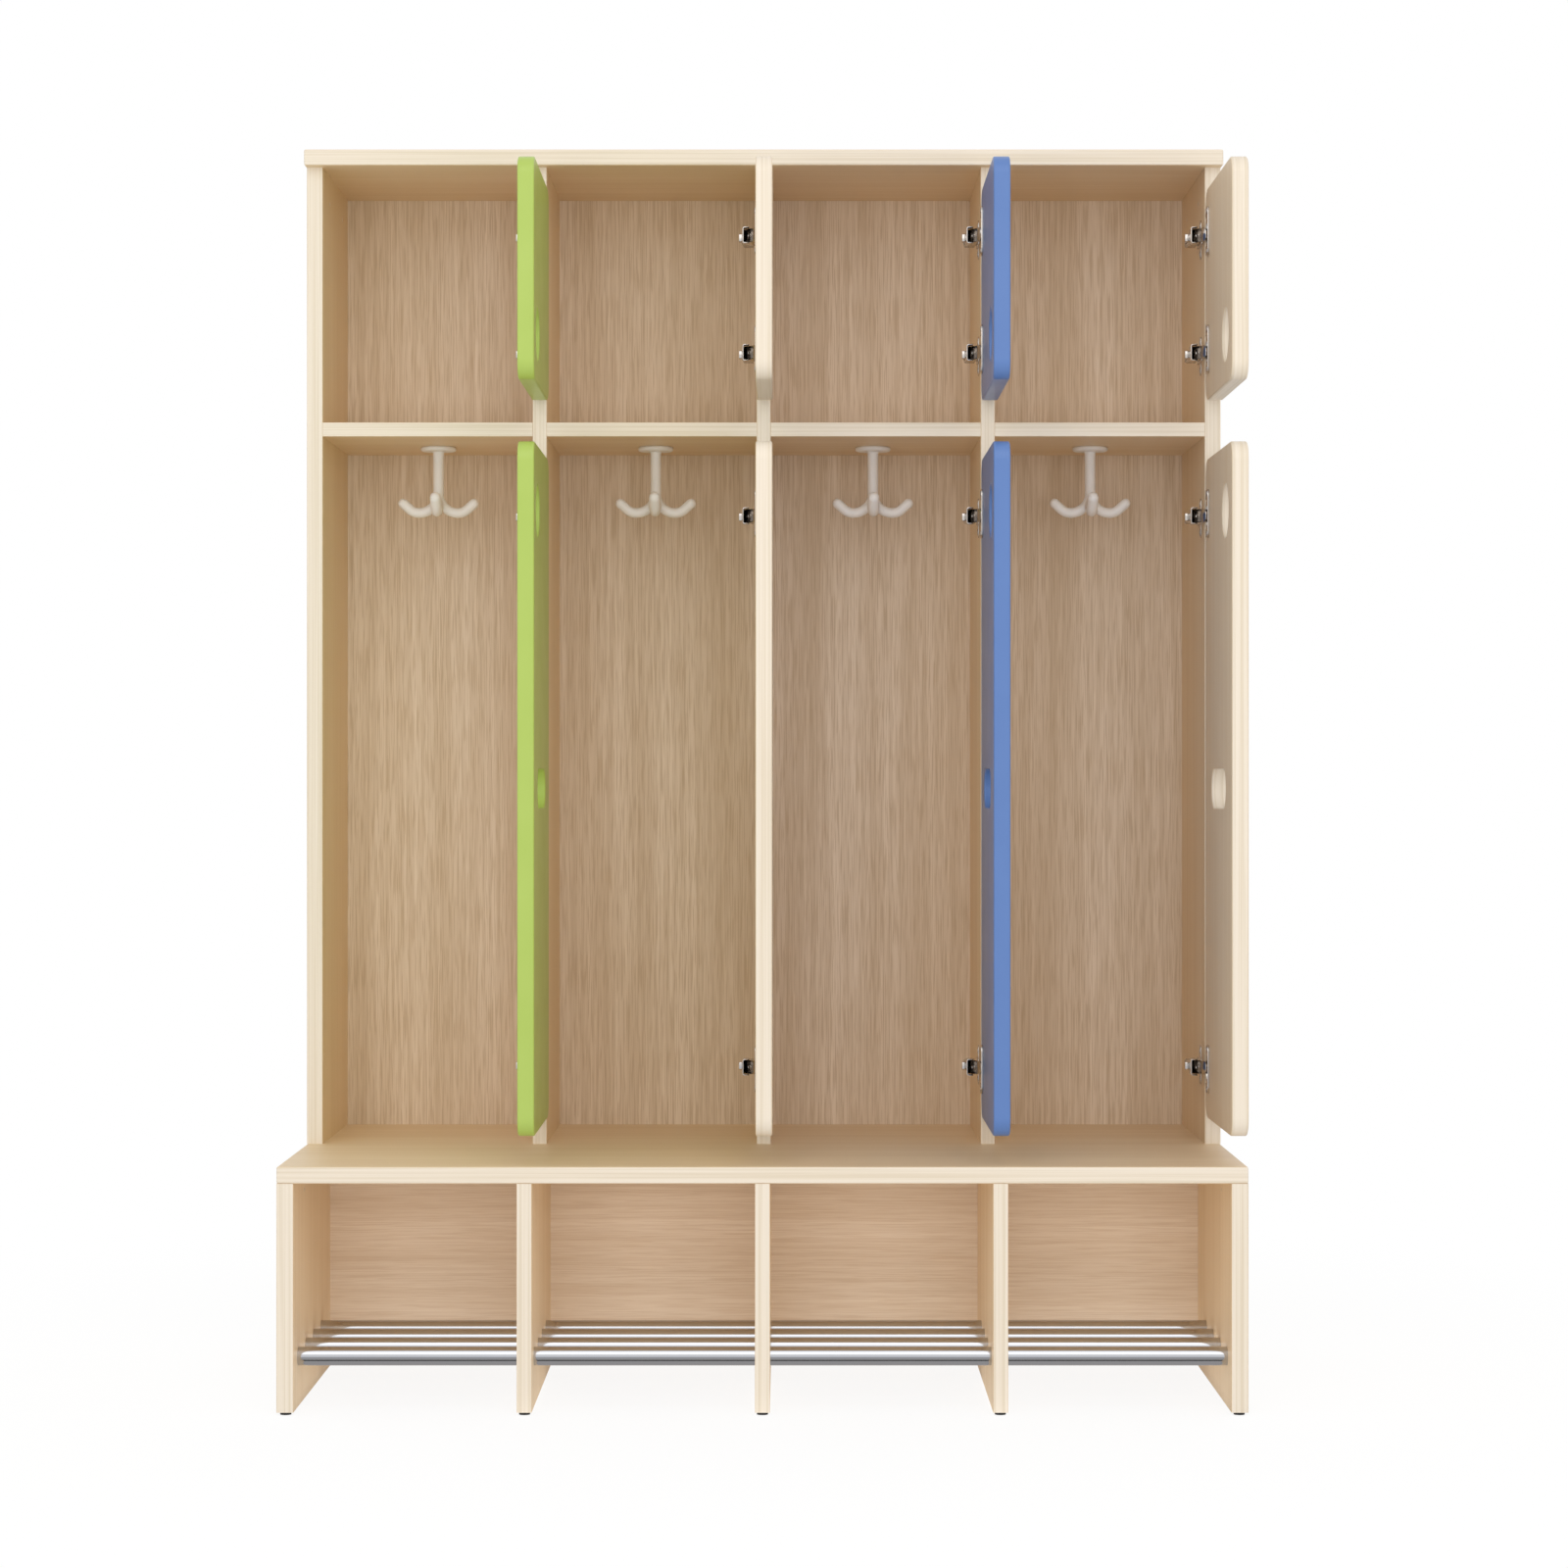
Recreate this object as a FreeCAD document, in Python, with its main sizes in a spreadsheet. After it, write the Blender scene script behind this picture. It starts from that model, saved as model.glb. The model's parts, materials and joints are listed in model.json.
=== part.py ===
import FreeCAD, Part
import os
import re
import Sketcher
from FreeCAD import Placement, Rotation, Vector

# A bench with a shoe space under its seat and a four-bay wardrobe on its rear half.
# Millimetres. The origin is on the floor, under the middle of the bench. X runs to the right,
# Y from the front to the back and Z up. The front plane of the wardrobe is at Y zero.
# The doors are modelled open at a right angle, as the bench is shown.

# Driving dimensions

SIZES = {
    # bays and boards of the wardrobe
    "bay_count": 4,
    "bay_width": 238,
    "divider_thickness": 16,
    "side_thickness": 18,
    "shelf_thickness": 16,
    "top_thickness": 18,
    "top_side_overhang": 1.5,
    "top_front_overhang": 15,
    "cabinet_depth": 250,
    "lower_opening": 802,
    "upper_opening": 289,
    "back_thickness": 8,
    "back_setback": 4,
    "back_groove_depth": 6,
    "back_groove_clearance": 0.2,
    "board_edge_radius": 1,
    "top_edge_radius": 2,
    # bench
    "seat_height": 265,
    "seat_thickness": 18,
    "seat_overhang": 250,
    "seat_edge_radius": 2,
    "bench_back_thickness": 16,
    "bench_back_setback": 67.5,
    "glide_height": 3,
    "glide_radius": 6,
    "glide_nail_radius": 1,
    "glide_nail_length": 14,
    "glide_inset": 9,
    # bores for linking two benches side by side
    "link_bore_radius": 2.5,
    "link_bore_depth": 12,
    "panel_link_drop": 31,
    "panel_link_front": 66,
    "panel_link_rear": 185,
    "leg_link_drop": 16,
    "leg_link_inset": 93,
    # shoe rods
    "rod_count": 4,
    "rod_radius": 10,
    "rod_height": 57,
    "rod_inset": 42,
    "rod_spacing": 65.2,
    "rod_socket_depth": 10,
    "rod_clearance": 0.1,
    # doors
    "door_thickness": 18,
    "door_free_gap": 6.5,
    "upper_gap_below": 23,
    "upper_gap_above": 27,
    "lower_gap_below": 31,
    "lower_gap_above": 27,
    "door_corner_radius": 20,
    "door_edge_radius": 2,
    "finger_hole_radius": 29,
    "finger_hole_from_edge": 61,
    "upper_hole_from_bottom": 54,
    "lower_hole_from_top": 71,
    "slot_length": 130,
    "slot_width": 43,
    # hinge pin, seen from above with the door closed
    "pin_from_door_edge": 6.5,
    "pin_from_door_face": 7.5,
    "door_closed_gap": 2,
    "door_open_setback": 0.5,
    "pin_radius": 1,
    "pin_clearance": 0.05,
    "pin_half_length": 7.5,
    "upper_hinge_from_top": 50,
    "upper_hinge_from_bottom": 56,
    "lower_hinge_from_top": 63,
    "lower_hinge_from_bottom": 56,
    # hinge cup and its flange
    "cup_radius": 17.5,
    "cup_depth": 12,
    "cup_wall": 0.6,
    "cup_from_edge": 3,
    "cup_clearance": 0.1,
    "flange_thickness": 1.2,
    "flange_half_height": 27.5,
    "flange_near_reach": 4,
    "flange_far_reach": 19,
    "flange_corner_radius": 8,
    "ear_half_width": 2.6,
    "ear_gap": 0.4,
    "cup_screw_spacing": 45,
    "cup_screw_offset": 9.5,
    # hinge arm
    "arm_height": 16,
    "arm_sheet": 1.6,
    "arm_width": 10,
    "arm_rear": 63,
    "arm_wall_depth": 12,
    "arm_edge_radius": 2.5,
    "head_width": 19,
    "head_rear": 14,
    "head_front": 4,
    "head_depth": 7,
    "nose_half_width": 4.5,
    "eye_radius": 1.9,
    # mounting plate
    "plate_thickness": 2,
    "plate_setback": 37,
    "plate_front": 16,
    "plate_rear": 60,
    "plate_width": 14,
    "wing_height": 45,
    "wing_width": 14,
    "wing_corner_radius": 6,
    "boss_clearance": 0.2,
    # screws
    "screw_radius": 1.75,
    "screw_head_radius": 3.3,
    "screw_head_height": 0.8,
    "screw_length": 12,
    "plate_screw_spacing": 32,
    "arm_screw_setback": 50,
    "arm_screw_length": 8,
    # dowels
    "dowel_radius": 4,
    "dowel_in_edge": 20,
    "dowel_in_face": 7,
    "dowel_inset": 45,
    "bench_dowel_inset": 50,
    # coat hooks
    "hook_setback": 132,
    "hook_plate_radius": 20.5,
    "hook_plate_thickness": 5,
    "hook_stem_radius": 6,
    "hook_arm_radius": 5.5,
    "hook_drop": 77,
    "hook_inner_bend": 23,
    "hook_outer_bend": 16,
    "hook_lift_angle": 42,
    "hook_tip_length": 10.5,
    "stud_radius": 2,
    "stud_in_shelf": 11,
    "stud_in_hook": 20,
    # how far a cutter runs past the face it cuts
    "overrun": 2,
}

# Rough size that an outline is drawn at before its constraints set it.
ROUGH = 10.0

# Turns, in degrees, and directions.
QUARTER = 90
HALF = 180
ALONG_X = Vector(1, 0, 0)
ALONG_Y = Vector(0, 1, 0)
ALONG_Z = Vector(0, 0, 1)

# Lengths below this count as none.
TINY = Part.Precision.confusion()

# Formulas in the names of the sheet

INSIDE_HALF = "((bay_count * bay_width + (bay_count - 1) * divider_thickness) / 2)"
OUTSIDE_HALF = f"({INSIDE_HALF} + side_thickness)"
SHELF_BOTTOM = "(seat_height + lower_opening)"
SHELF_TOP = f"({SHELF_BOTTOM} + shelf_thickness)"
TOP_BOTTOM = f"({SHELF_TOP} + upper_opening)"
PANEL_HEIGHT = f"({TOP_BOTTOM} - seat_height)"
INSIDE_DEPTH = "(cabinet_depth - back_setback - back_thickness)"
SEAT_DEPTH = "(seat_overhang + cabinet_depth)"
SEAT_BOTTOM = "(seat_height - seat_thickness)"
LEG_HEIGHT = f"({SEAT_BOTTOM} - glide_height)"
ROD_HALF = f"({INSIDE_HALF} + rod_socket_depth)"

# The hinge pin, from the bay side of the panel that carries it and from the front plane.
PIN_X = "(pin_from_door_face + door_open_setback)"
PIN_Y = "(0 - door_closed_gap - pin_from_door_face)"
OPEN_EDGE_Y = f"({PIN_Y} + pin_from_door_edge)"
CUP_Y = f"({OPEN_EDGE_Y} - cup_from_edge - cup_radius)"
DOOR_WIDTH = f"(bay_width + {PIN_X} + pin_from_door_edge - door_free_gap)"
NOSE_Y = f"({PIN_Y} - eye_radius)"

# Doors: name, lowest point, height, hinge heights above the lowest point, finger hole height.
UPPER_HEIGHT = "(upper_opening - upper_gap_below - upper_gap_above)"
LOWER_HEIGHT = "(lower_opening - lower_gap_below - lower_gap_above)"
UPPER = {
    "name": "upper_door",
    "bottom": f"({SHELF_TOP} + upper_gap_below)",
    "height": UPPER_HEIGHT,
    "hinges": ("upper_hinge_from_bottom", f"({UPPER_HEIGHT} - upper_hinge_from_top)"),
    "hole": "upper_hole_from_bottom",
    "slot": False,
}
LOWER = {
    "name": "lower_door",
    "bottom": "(seat_height + lower_gap_below)",
    "height": LOWER_HEIGHT,
    "hinges": ("lower_hinge_from_bottom", f"({LOWER_HEIGHT} - lower_hinge_from_top)"),
    "hole": f"({LOWER_HEIGHT} - lower_hole_from_top)",
    "slot": True,
}

doc = FreeCAD.newDocument("bench")
sheet = doc.addObject("Spreadsheet::Sheet", "Sizes")
for row, (alias, amount) in enumerate(SIZES.items(), start=1):
    sheet.set(f"A{row}", alias)
    sheet.set(f"B{row}", str(amount))
    sheet.setAlias(f"B{row}", alias)
doc.recompute()

BAYS = range(int(sheet.get("bay_count")))
RODS = range(int(sheet.get("rod_count")))
nodes = []


# Helpers


def bind(obj, prop, formula):
    """Tie a property to a formula written in the names of the sheet."""
    def in_sheet(word):
        return f"Sizes.{word[0]}" if word[0] in SIZES else word[0]

    obj.setExpression(prop, re.sub(r"[a-z_]+", in_sheet, formula))


def place(obj, at):
    """Tie the three coordinates of an object's place to formulas."""
    for axis, formula in zip("xyz", at):
        bind(obj, f"Placement.Base.{axis}", formula)


def bay_left(bay):
    """X of the left inner face of a bay."""
    return f"({bay} * (bay_width + divider_thickness) - {INSIDE_HALF})"


def bay_right(bay):
    """X of the right inner face of a bay, on the panel that carries its hinges."""
    return f"({bay_left(bay)} + bay_width)"


def bay_middle(bay):
    """X of the middle of a bay."""
    return f"({bay_left(bay)} + bay_width / 2)"


def keep(obj, label):
    """Name an object as a finished sub-part."""
    obj.Label = label
    nodes.append(obj)
    return obj


def block(name, size, at):
    """A box with its lowest corner at a place."""
    box = doc.addObject("Part::Box", name)
    for prop, formula in zip(("Length", "Width", "Height"), size):
        bind(box, prop, formula)
    place(box, at)
    return box


def rod(name, radius, length, at, axis=ALONG_Z):
    """A cylinder that starts at a place and runs along an axis."""
    cylinder = doc.addObject("Part::Cylinder", name)
    cylinder.Placement = Placement(Vector(), Rotation(ALONG_Z, axis))
    bind(cylinder, "Radius", radius)
    bind(cylinder, "Height", length)
    place(cylinder, at)
    return cylinder


def fuse(name, shapes):
    """Several solids as one."""
    union = doc.addObject("Part::MultiFuse", name)
    union.Shapes = shapes
    union.Refine = True
    return union


def cut(name, base, tool):
    """A solid less a tool."""
    result = doc.addObject("Part::Cut", name)
    result.Base = base
    result.Tool = tool
    return result


def group(name, shapes):
    """Separate solids in one sub-part."""
    compound = doc.addObject("Part::Compound", name)
    compound.Links = shapes
    return compound


def copy_at(template, name, at, turn=0):
    """One more of a template, at a place, turned about Z."""
    link = doc.addObject("App::Link", name)
    link.LinkedObject = template
    link.LinkTransform = True
    link.Placement = Placement(Vector(), Rotation(ALONG_Z, turn))
    place(link, at)
    return link


def sketch_on(body, name):
    """A sketch on a body's own level plane."""
    sketch = body.newObject("Sketcher::SketchObject", name)
    level = next(item for item in body.Origin.OriginFeatures if item.Role == "XY_Plane")
    sketch.AttachmentSupport = [(level, "")]
    sketch.MapMode = "FlatFace"
    return sketch


def measure(sketch, constraint, formula):
    """Add a dimension to a sketch and tie it to a formula."""
    index = sketch.addConstraint(constraint)
    bind(sketch, f"Constraints[{index}]", formula)


def draw_rectangle(sketch, width, height):
    """A rectangle from the sketch's origin."""
    corners = [Vector(0, 0, 0), Vector(ROUGH, 0, 0), Vector(ROUGH, ROUGH, 0), Vector(0, ROUGH, 0)]
    for start, end in zip(corners, corners[1:] + corners[:1]):
        sketch.addGeometry(Part.LineSegment(start, end))
    for line in range(len(corners)):
        sketch.addConstraint(Sketcher.Constraint("Coincident", line, 2, (line + 1) % len(corners), 1))
    for line, run in enumerate(("Horizontal", "Vertical", "Horizontal", "Vertical")):
        sketch.addConstraint(Sketcher.Constraint(run, line))
    sketch.addConstraint(Sketcher.Constraint("Coincident", 0, 1, -1, 1))
    measure(sketch, Sketcher.Constraint("DistanceX", 0, 1, 0, 2, ROUGH), width)
    measure(sketch, Sketcher.Constraint("DistanceY", 1, 1, 1, 2, ROUGH), height)


def draw_circle(sketch, radius, across, up):
    """A circle at a place in the sketch."""
    circle = sketch.addGeometry(Part.Circle(Vector(ROUGH, ROUGH, 0), ALONG_Z, ROUGH))
    measure(sketch, Sketcher.Constraint("Radius", circle, ROUGH), radius)
    measure(sketch, Sketcher.Constraint("DistanceX", -1, 1, circle, 3, ROUGH), across)
    measure(sketch, Sketcher.Constraint("DistanceY", -1, 1, circle, 3, ROUGH), up)


def pad(body, sketch, length):
    """Grow a sketch into the body's first solid."""
    feature = body.newObject("PartDesign::Pad", sketch.Name + "_pad")
    feature.Profile = sketch
    bind(feature, "Length", length)
    doc.recompute()
    return feature


def round_edges(body, feature, names, radius):
    """Round named edges or faces of a body's last feature."""
    fillet = body.newObject("PartDesign::Fillet", feature.Name + "_round")
    fillet.Base = (feature, names)
    bind(fillet, "Radius", radius)
    doc.recompute()
    return fillet


def edges_along(shape, axis, side=None):
    """Names of a box's edges along an axis, all of them or those farthest towards one side."""
    along = []
    for index, edge in enumerate(shape.Edges, start=1):
        run = edge.Vertexes[-1].Point - edge.Vertexes[0].Point
        if run.cross(axis).Length < TINY:
            along.append((index, edge.CenterOfMass))
    if side is not None:
        limit = max(middle.dot(side) for index, middle in along)
        along = [(index, middle) for index, middle in along if limit - middle.dot(side) < TINY]
    return [f"Edge{index}" for index, middle in along]


def board(name, size, at, rounded, radius):
    """A board: its outline from above, padded up, with some of its edges rounded."""
    body = doc.addObject("PartDesign::Body", name)
    outline = sketch_on(body, name + "_outline")
    draw_rectangle(outline, size[0], size[1])
    blank = pad(body, outline, size[2])
    names = []
    for axis, side in rounded:
        names += edges_along(blank.Shape, axis, side)
    round_edges(body, blank, names, radius)
    place(body, at)
    return body


# Which edges of a board are rounded: their direction, and the side that they are on.
UPRIGHT = ((ALONG_Z, -ALONG_Y),)
LEVEL = ((ALONG_X, -ALONG_Y),)
ALL_ROUND = ((ALONG_X, None), (ALONG_Y, None), (ALONG_Z, None))
SHOULDERS = ((ALONG_Y, -ALONG_X),)
CORNERS = ((ALONG_X, None),)


# Dowels: glued wooden pins between the boards. Each board is bored by the dowels themselves.


def dowel_up(name, x, y, joint, below, above):
    """An upright dowel across a level joint."""
    return rod(name, "dowel_radius", f"({below} + {above})", (x, y, f"({joint} - {below})"))


def dowel_across(name, joint, y, z, left, right):
    """A level dowel across an upright joint."""
    start = (f"({joint} - {left})", y, z)
    return rod(name, "dowel_radius", f"({left} + {right})", start, ALONG_X)


def dowel_pair(name, bay, y, z):
    """Two level dowels that hold a board of a bay between its uprights."""
    left = dowel_across(name + "_left", bay_left(bay), y, z, "dowel_in_face", "dowel_in_edge")
    right = dowel_across(name + "_right", bay_right(bay), y, z, "dowel_in_edge", "dowel_in_face")
    return [left, right]


panel_middles = [f"({bay_left(bay)} - divider_thickness / 2)" for bay in BAYS][1:]
side_middles = [f"(0 - {OUTSIDE_HALF} + side_thickness / 2)", f"({OUTSIDE_HALF} - side_thickness / 2)"]
upright_middles = [side_middles[0]] + panel_middles + [side_middles[1]]
depth_places = ("dowel_inset", f"({INSIDE_DEPTH} - dowel_inset)")
bench_places = ("(dowel_inset - seat_overhang)", f"({INSIDE_DEPTH} / 2)")
shelf_middle = f"({SHELF_BOTTOM} + shelf_thickness / 2)"
bench_back_middle = "(bench_back_setback + bench_back_thickness / 2)"
bench_heights = (f"({SEAT_BOTTOM} - bench_dowel_inset)", "(glide_height + bench_dowel_inset)")

dowels = []
for upright, x in enumerate(upright_middles):
    for end, y in enumerate(depth_places):
        tag = f"{upright}_{end}"
        dowels.append(dowel_up(f"top_dowel_{tag}", x, y, TOP_BOTTOM, "dowel_in_edge", "dowel_in_face"))
        dowels.append(dowel_up(f"seat_dowel_{tag}", x, y, "seat_height", "dowel_in_face", "dowel_in_edge"))
    for end, y in enumerate(bench_places):
        tag = f"{upright}_{end}"
        dowels.append(dowel_up(f"leg_dowel_{tag}", x, y, SEAT_BOTTOM, "dowel_in_edge", "dowel_in_face"))
for bay in BAYS:
    for end, y in enumerate(depth_places):
        dowels += dowel_pair(f"shelf_dowel_{bay}_{end}", bay, y, shelf_middle)
    for end, z in enumerate(bench_heights):
        dowels += dowel_pair(f"bench_dowel_{bay}_{end}", bay, bench_back_middle, z)
dowel_group = keep(group("dowels", dowels), "dowels")


# Glides: a round foot with a nail that is driven into the leg.

glide_foot = rod("glide_foot", "glide_radius", "glide_height", ("0", "0", "0"))
glide_nail = rod("glide_nail", "glide_nail_radius", "glide_height + glide_nail_length", ("0", "0", "0"))
glide = fuse("glide", [glide_foot, glide_nail])
glides = []
for upright, x in enumerate(upright_middles):
    for end, y in enumerate(("(glide_inset - seat_overhang)", "(cabinet_depth - glide_inset)")):
        glides.append(copy_at(glide, f"glide_{upright}_{end}", (x, y, "0")))
glide_group = keep(group("glides", glides), "glides")


# Shoe rods: steel bars through the three middle legs, held in sockets of the side legs.

rod_length = f"2 * {ROD_HALF}"
rod_bores = []
for index in RODS:
    start = (f"(0 - {ROD_HALF})", f"(rod_inset + {index} * rod_spacing - seat_overhang)", "rod_height")
    shoe_rod = rod(f"shoe_rod_{index + 1}", "rod_radius", rod_length, start, ALONG_X)
    keep(shoe_rod, f"shoe_rod_{index + 1}")
    rod_bores.append(rod(f"rod_bore_{index}", "rod_radius + rod_clearance", rod_length, start, ALONG_X))


# Coat hooks: a round plate, a stem and three upturned arms, moulded in one piece.


def hook_bend(name, bend, sweep, turn, at):
    """A bent stretch of a hook's arm, in the upright plane through the stem."""
    ring = doc.addObject("Part::Torus", name)
    tilt = Rotation(ALONG_X, QUARTER)
    ring.Placement = Placement(Vector(), tilt * Rotation(ALONG_Z, turn))
    bind(ring, "Radius1", bend)
    bind(ring, "Radius2", "hook_arm_radius")
    bind(ring, "Angle3", sweep)
    place(ring, at)
    return ring


tip_x = "(hook_inner_bend + hook_outer_bend * sin(hook_lift_angle))"
tip_z = "(0 - hook_drop + hook_outer_bend - hook_outer_bend * cos(hook_lift_angle))"
end_x = f"({tip_x} + hook_tip_length * cos(hook_lift_angle))"
end_z = f"({tip_z} + hook_tip_length * sin(hook_lift_angle))"
lift = float(sheet.get("hook_lift_angle"))
inner = hook_bend("hook_inner", "hook_inner_bend", str(QUARTER), HALF,
                  ("hook_inner_bend", "0", "(hook_inner_bend - hook_drop)"))
outer = hook_bend("hook_outer", "hook_outer_bend", "hook_lift_angle", HALF + QUARTER,
                  ("hook_inner_bend", "0", "(hook_outer_bend - hook_drop)"))
tip = rod("hook_tip", "hook_arm_radius", "hook_tip_length", (tip_x, "0", tip_z))
tip.Placement = Placement(Vector(), Rotation(ALONG_Y, QUARTER - lift))
place(tip, (tip_x, "0", tip_z))
ball = doc.addObject("Part::Sphere", "hook_ball")
bind(ball, "Radius", "hook_arm_radius")
place(ball, (end_x, "0", end_z))
arm = fuse("hook_arm", [inner, outer, tip, ball])
plate_core = rod("hook_plate", "hook_plate_radius - hook_plate_thickness / 2", "hook_plate_thickness",
                 ("0", "0", "(0 - hook_plate_thickness)"))
plate_rim = doc.addObject("Part::Torus", "hook_plate_rim")
bind(plate_rim, "Radius1", "hook_plate_radius - hook_plate_thickness / 2")
bind(plate_rim, "Radius2", "hook_plate_thickness / 2")
place(plate_rim, ("0", "0", "(0 - hook_plate_thickness / 2)"))
stem = rod("hook_stem", "hook_stem_radius", "hook_drop - hook_inner_bend",
           ("0", "0", "(hook_inner_bend - hook_drop)"))
stem_end = doc.addObject("Part::Sphere", "hook_stem_end")
bind(stem_end, "Radius", "hook_stem_radius")
place(stem_end, ("0", "0", "(hook_inner_bend - hook_drop)"))
arms = [copy_at(arm, f"hook_arm_{turn}", ("0", "0", "0"), turn) for turn in (0, -QUARTER, HALF)]
hook_solid = fuse("hook_solid", [plate_core, plate_rim, stem, stem_end] + arms)
stud = rod("hook_stud", "stud_radius", "stud_in_hook + stud_in_shelf", ("0", "0", "(0 - stud_in_hook)"))
hook = cut("hook", hook_solid, stud)
studs = []
for bay in BAYS:
    at = (bay_middle(bay), "hook_setback", SHELF_BOTTOM)
    keep(group(f"coat_hook_{bay + 1}", [copy_at(hook, f"hook_copy_{bay}", at)]), f"coat_hook_{bay + 1}")
    studs.append(copy_at(stud, f"stud_copy_{bay}", at))
stud_group = keep(group("hook_studs", studs), "hook_studs")


# Concealed hinges. The arm and its mounting plate sit on the bay side of the panel, and the arm's
# nose reaches into the cup, where the pin carries the door. All are drawn round the point where
# the panel's bay side meets the front plane, at the height of the pin's middle.


def screw(name, length, at, axis):
    """A screw: its shank from a place along an axis, and its head before that place."""
    shank = rod(name + "_shank", "screw_radius", length, ("0", "0", "0"))
    cap_at = ("0", "0", "(0 - screw_head_height)")
    cap = rod(name + "_cap", "screw_head_radius", "screw_head_height", cap_at)
    solid = fuse(name, [shank, cap])
    solid.Placement = Placement(Vector(), Rotation(ALONG_Z, axis))
    place(solid, at)
    return solid


channel = board("arm_channel", ("arm_wall_depth", "arm_rear - head_front", "arm_width"),
                ("(0 - arm_height)", "head_front", "(0 - arm_width / 2)"), SHOULDERS, "arm_edge_radius")
channel_room = block("arm_room", ("arm_wall_depth", "arm_rear", "arm_width - 2 * arm_sheet"),
                     ("(arm_sheet - arm_height)", "head_front", "(arm_sheet - arm_width / 2)"))
channel_shell = cut("arm_shell", channel, channel_room)
head = board("arm_head", ("head_depth", "head_rear + head_front", "head_width"),
             ("(0 - arm_height)", "(0 - head_front)", "(0 - head_width / 2)"), SHOULDERS, "arm_edge_radius")
head_room = block("head_room",
                  ("head_depth", "head_rear + head_front - arm_sheet", "head_width - 2 * arm_sheet"),
                  ("(arm_sheet - arm_height)", "(arm_sheet - head_front)", "(arm_sheet - head_width / 2)"))
head_shell = cut("head_shell", head, head_room)
neck = block("arm_neck", ("arm_sheet", f"(0 - {NOSE_Y} - head_front + arm_sheet)", "2 * nose_half_width"),
             ("(0 - arm_height)", NOSE_Y, "(0 - nose_half_width)"))
nose = block("arm_nose", (f"({PIN_X} + arm_height)", "arm_sheet", "2 * nose_half_width"),
             ("(0 - arm_height)", NOSE_Y, "(0 - nose_half_width)"))
eye = rod("arm_eye", "eye_radius", "2 * nose_half_width", (PIN_X, PIN_Y, "(0 - nose_half_width)"))
eye_bore = rod("eye_bore", "pin_radius + pin_clearance", "2 * nose_half_width + 2 * overrun",
               (PIN_X, PIN_Y, "(0 - nose_half_width - overrun)"))
arm_blank = fuse("arm_blank", [channel_shell, head_shell, neck, nose, eye])
arm_screw = screw("arm_screw", "arm_screw_length + arm_sheet",
                  ("(0 - arm_height)", "arm_screw_setback", "0"), ALONG_X)
hinge_arm = cut("hinge_arm", arm_blank, fuse("arm_cuts", [eye_bore, arm_screw]))

base_plate = block("base_plate", ("plate_thickness", "plate_rear - plate_front", "plate_width"),
                   ("(0 - plate_thickness)", "plate_front", "(0 - plate_width / 2)"))
wings = board("plate_wings", ("plate_thickness", "wing_width", "wing_height"),
              ("(0 - plate_thickness)", "(plate_setback - wing_width / 2)", "(0 - wing_height / 2)"),
              CORNERS, "wing_corner_radius")
boss_width = "(arm_width - 2 * arm_sheet - 2 * boss_clearance)"
boss = block("plate_boss", ("arm_height - arm_sheet", "plate_rear - plate_front", boss_width),
             ("(arm_sheet - arm_height)", "plate_front", f"(0 - {boss_width} / 2)"))
plate_screws = [screw(f"plate_screw_{side}", "screw_length + plate_thickness",
                      ("(0 - plate_thickness)", "plate_setback", f"{side} * plate_screw_spacing / 2"),
                      ALONG_X) for side in (-1, 1)]
plate_blank = fuse("plate_blank", [base_plate, wings, boss])
hinge_plate = cut("hinge_plate", plate_blank, group("plate_cuts", plate_screws + [arm_screw]))

face_x = "door_open_setback"
cup_outside = rod("cup_outside", "cup_radius", "cup_depth", (face_x, CUP_Y, "0"), ALONG_X)
flange = board("cup_flange",
               ("flange_thickness", "flange_near_reach + flange_far_reach", "2 * flange_half_height"),
               (f"({face_x} - flange_thickness)", f"({CUP_Y} - flange_far_reach)",
                "(0 - flange_half_height)"), CORNERS, "flange_corner_radius")
cup_room = rod("cup_room", "cup_radius - cup_wall", "cup_depth - cup_wall + flange_thickness + overrun",
               (f"({face_x} - flange_thickness - overrun)", CUP_Y, "0"), ALONG_X)
cup_shell = cut("cup_shell", fuse("cup_blank", [cup_outside, flange]), cup_room)
ear_size = ("2 * ear_half_width", "2 * ear_half_width", "cup_radius - nose_half_width - ear_gap")
ear_corner = (f"({PIN_X} - ear_half_width)", f"({PIN_Y} - ear_half_width)")
ears = [block("cup_ear_above", ear_size, ear_corner + ("(nose_half_width + ear_gap)",)),
        block("cup_ear_below", ear_size, ear_corner + ("(0 - cup_radius)",))]
ear_limit = rod("ear_limit", "cup_radius - cup_wall / 2", "cup_depth", (face_x, CUP_Y, "0"), ALONG_X)
ear_pair = doc.addObject("Part::MultiCommon", "cup_ears")
ear_pair.Shapes = [group("ear_blanks", ears), ear_limit]
pin = rod("hinge_pin", "pin_radius", "2 * pin_half_length", (PIN_X, PIN_Y, "(0 - pin_half_length)"))
cup_screw_y = f"({CUP_Y} - cup_screw_offset)"
cup_screws = [screw(f"cup_screw_{side}", "screw_length + flange_thickness",
                    (f"({face_x} - flange_thickness)", cup_screw_y, f"{side} * cup_screw_spacing / 2"),
                    ALONG_X) for side in (-1, 1)]
cup_with_ears = fuse("cup_with_ears", [cup_shell, ear_pair])
hinge_cup = cut("hinge_cup", cup_with_ears, group("cup_cuts", [pin] + cup_screws))
cup_bore = rod("cup_bore", "cup_radius + cup_clearance", "cup_depth + cup_clearance + overrun",
               (f"({face_x} - overrun)", CUP_Y, "0"), ALONG_X)
door_cuts = group("door_cuts", [cup_bore] + cup_screws)
door_fixings = group("door_fixings", [pin] + cup_screws)
panel_fixings = group("panel_fixings", plate_screws + [arm_screw])

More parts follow.
